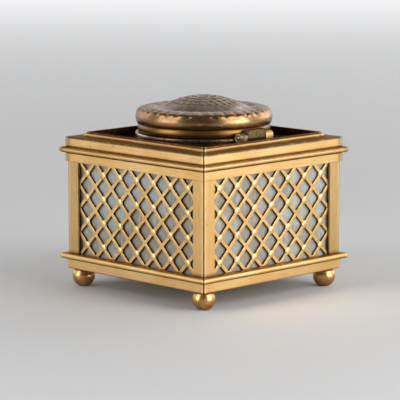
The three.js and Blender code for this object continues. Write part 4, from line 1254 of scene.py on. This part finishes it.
def make_leaf_screws():
    """Round-headed screws with a slot."""
    for side, turn in SLOT_TURNS.items():
        node = f"hinge_screw_{side}"
        low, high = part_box(node)
        shank = (high.x - low.x) / 2 - (LEAF_SCREW_HEAD - LEAF_SCREW_SHANK)
        under = high.z - LEAF_SCREW_RISE
        profile = [(0, low.z), (shank, low.z), (shank, under), (LEAF_SCREW_HEAD, under),
                   *arc((0, under), (LEAF_SCREW_HEAD, LEAF_SCREW_RISE), 0, 90, 8)[1:-1], (0, high.z)]
        slot = block_mesh((-LEAF_SCREW_HEAD - OVERRUN, -SLOT_HALF, high.z - SLOT_DEPTH),
                          (LEAF_SCREW_HEAD + OVERRUN, SLOT_HALF, high.z + OVERRUN), SLOT_EDGE)
        slot.transform(Matrix.Rotation(math.radians(turn), 4, "Z"))
        mesh = cut(turned_mesh(profile, SCREW_STEPS, closed=False), slot)
        mesh.transform(Matrix.Translation(((low.x + high.x) / 2, (low.y + high.y) / 2, 0)))
        piece(f"leaf_screw_{side}", mesh, hinge_brass, "case", node)


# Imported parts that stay: a finish by the first two words of the name, and softened edges

PACKED_FINISHES = {
    "top_pane": top_glass,
    "side_pane": side_glass,
    "top_plate": plate_in_painted_shade,
    "top_screw": steel,
}


def finish_packed_parts():
    for name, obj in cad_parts.items():
        if obj.hide_render:
            continue
        kind = "_".join(name.split("_")[:2])
        obj.data.materials.clear()
        obj.data.materials.append(PACKED_FINISHES.get(kind, inner_brass))
        weld = obj.modifiers.new("weld", "WELD")
        weld.merge_threshold = WELD
        bevel = obj.modifiers.new("soft_edges", "BEVEL")
        bevel.width = PACKED_EDGE
        bevel.segments = 2
        bevel.limit_method = "ANGLE"
        bevel.angle_limit = math.radians(BEVEL_FROM)
        bevel.harden_normals = False


# Studio

def placed_camera():
    azimuth, elevation = math.radians(CAMERA_AZIMUTH), math.radians(CAMERA_ELEVATION)
    level = Vector((math.sin(azimuth), -math.cos(azimuth), 0))
    right = Vector((math.cos(azimuth), math.sin(azimuth), 0))
    back = level * math.cos(elevation) + UP * math.sin(elevation)
    target = right * TARGET_SIDEWAYS + UP * TARGET_HEIGHT
    camera = linked("camera", bpy.data.cameras.new("camera"))
    camera.data.lens = CAMERA_LENS
    camera.data.clip_start, camera.data.clip_end = CAMERA_CLIP
    camera.location = target + back * CAMERA_DISTANCE
    camera.rotation_euler = (-back).to_track_quat("-Z", "Y").to_euler()
    bpy.context.scene.camera = camera
    return level, right


def area_light(name, width, height, watts):
    """A rectangular light, still to be placed."""
    light = linked(name, bpy.data.lights.new(name, "AREA"))
    light.data.shape = "RECTANGLE"
    light.data.size = width
    light.data.size_y = height
    light.data.energy = watts
    return light


def softbox(level, right, name, bearing, elevation, distance, width, height, watts):
    """A light aimed at the object. The bearing is from the camera, in degrees to the right."""
    turn, rise = math.radians(bearing), math.radians(elevation)
    away = (level * math.cos(turn) + right * math.sin(turn)) * math.cos(rise) + UP * math.sin(rise)
    light = area_light(name, width, height, watts)
    light.location = UP * TARGET_HEIGHT + away * distance
    light.rotation_euler = (-away).to_track_quat("-Z", "Y").to_euler()


def side_glow(name, side, watts):
    """The light that one gilt side reflects on the floor, without the light itself in any reflection."""
    out = Vector((*side, 0))
    light = area_light(name, 2 * post_half, cornice_low.z - base_high.z, watts)
    light.data.color = GLOW_COLOUR
    light.location = out * (bead_half + GLOW_GAP) + UP * ((cornice_low.z + base_high.z) / 2)
    light.rotation_euler = (-out).to_track_quat("Z", "Y").to_euler()
    light.visible_camera = False
    light.visible_glossy = False


def backdrop_light(level):
    """Lights the floor far behind the object, and nothing else."""
    light = area_light(*BACKDROP_LIGHT)
    light.data.spread = math.radians(BACKDROP_SPREAD)
    light.location = level * -BACKDROP_DISTANCE + UP * BACKDROP_LEVEL
    light.rotation_euler = Matrix((level.cross(UP), level, UP)).transposed().to_euler()


def make_floor():
    made = bmesh.new()
    bmesh.ops.create_circle(made, cap_ends=True, segments=96, radius=FLOOR_RADIUS)
    mesh = bpy.data.meshes.new("floor")
    made.to_mesh(mesh)
    made.free()
    f = Finish("floor_paper")
    tone = f.noise(400 * MM, detail=2)
    near = f.mix(f.between(tone, 0.3, 0.7), (0.63, 0.63, 0.635), (0.66, 0.66, 0.665))
    away = f.node("ShaderNodeVectorMath", {0: f.place}, operation="LENGTH").outputs["Value"]
    # painted light: the floor painted paler from FLOOR_CHANGE out, for a brighter far floor
    colour = f.mix(f.between(away, *FLOOR_CHANGE), near, (0.785, 0.79, 0.80))
    f.set(base_color=colour, roughness=0.7, specular_ior_level=0.2)
    mesh.materials.append(f.material)
    linked("floor", mesh)


def make_world(level, right):
    """A pale room behind the object, palest to the right, and a dim one behind the camera."""
    world = bpy.data.worlds.new("studio")
    bpy.context.scene.world = world
    world.use_nodes = True
    nodes, links = world.node_tree.nodes, world.node_tree.links
    direction = nodes.new("ShaderNodeTexCoord").outputs["Generated"]

    def ramp(towards, low, high, to_low, to_high):
        """A share that follows how far the direction points towards an axis."""
        facing = nodes.new("ShaderNodeVectorMath")
        facing.operation = "DOT_PRODUCT"
        links.new(direction, facing.inputs[0])
        facing.inputs[1].default_value = towards
        share = nodes.new("ShaderNodeMapRange")
        share.interpolation_type = "SMOOTHSTEP"
        links.new(facing.outputs["Value"], share.inputs["Value"])
        for name, value in (("From Min", low), ("From Max", high), ("To Min", to_low), ("To Max", to_high)):
            if isinstance(value, bpy.types.NodeSocket):
                links.new(value, share.inputs[name])
            else:
                share.inputs[name].default_value = value
        return share.outputs[0]

    behind = ramp(right, -0.6, 0.6, *ROOM_BEHIND)
    behind = ramp(UP, 0.45, 0.85, behind, ROOM_ABOVE)
    background = nodes["Background"]
    background.inputs["Color"].default_value = (1, 1, 1, 1)
    links.new(ramp(level, -0.4, 0.5, behind, ROOM_IN_FRONT), background.inputs["Strength"])


def make_studio():
    level, right = placed_camera()
    make_floor()
    make_world(level, right)
    for settings in SOFTBOXES:
        softbox(level, right, *settings)
    for settings in SIDE_GLOWS:
        side_glow(*settings)
    backdrop_light(level)
    bpy.context.scene.view_settings.view_transform = "Standard"


make_studio()
make_base()
make_cornice()
make_top_moulding()
make_corners()
make_grilles()
make_lid()
make_collar()
make_pot()
make_fixed_leaf()
make_lid_leaf()
make_pin()
make_leaf_screws()
finish_packed_parts()
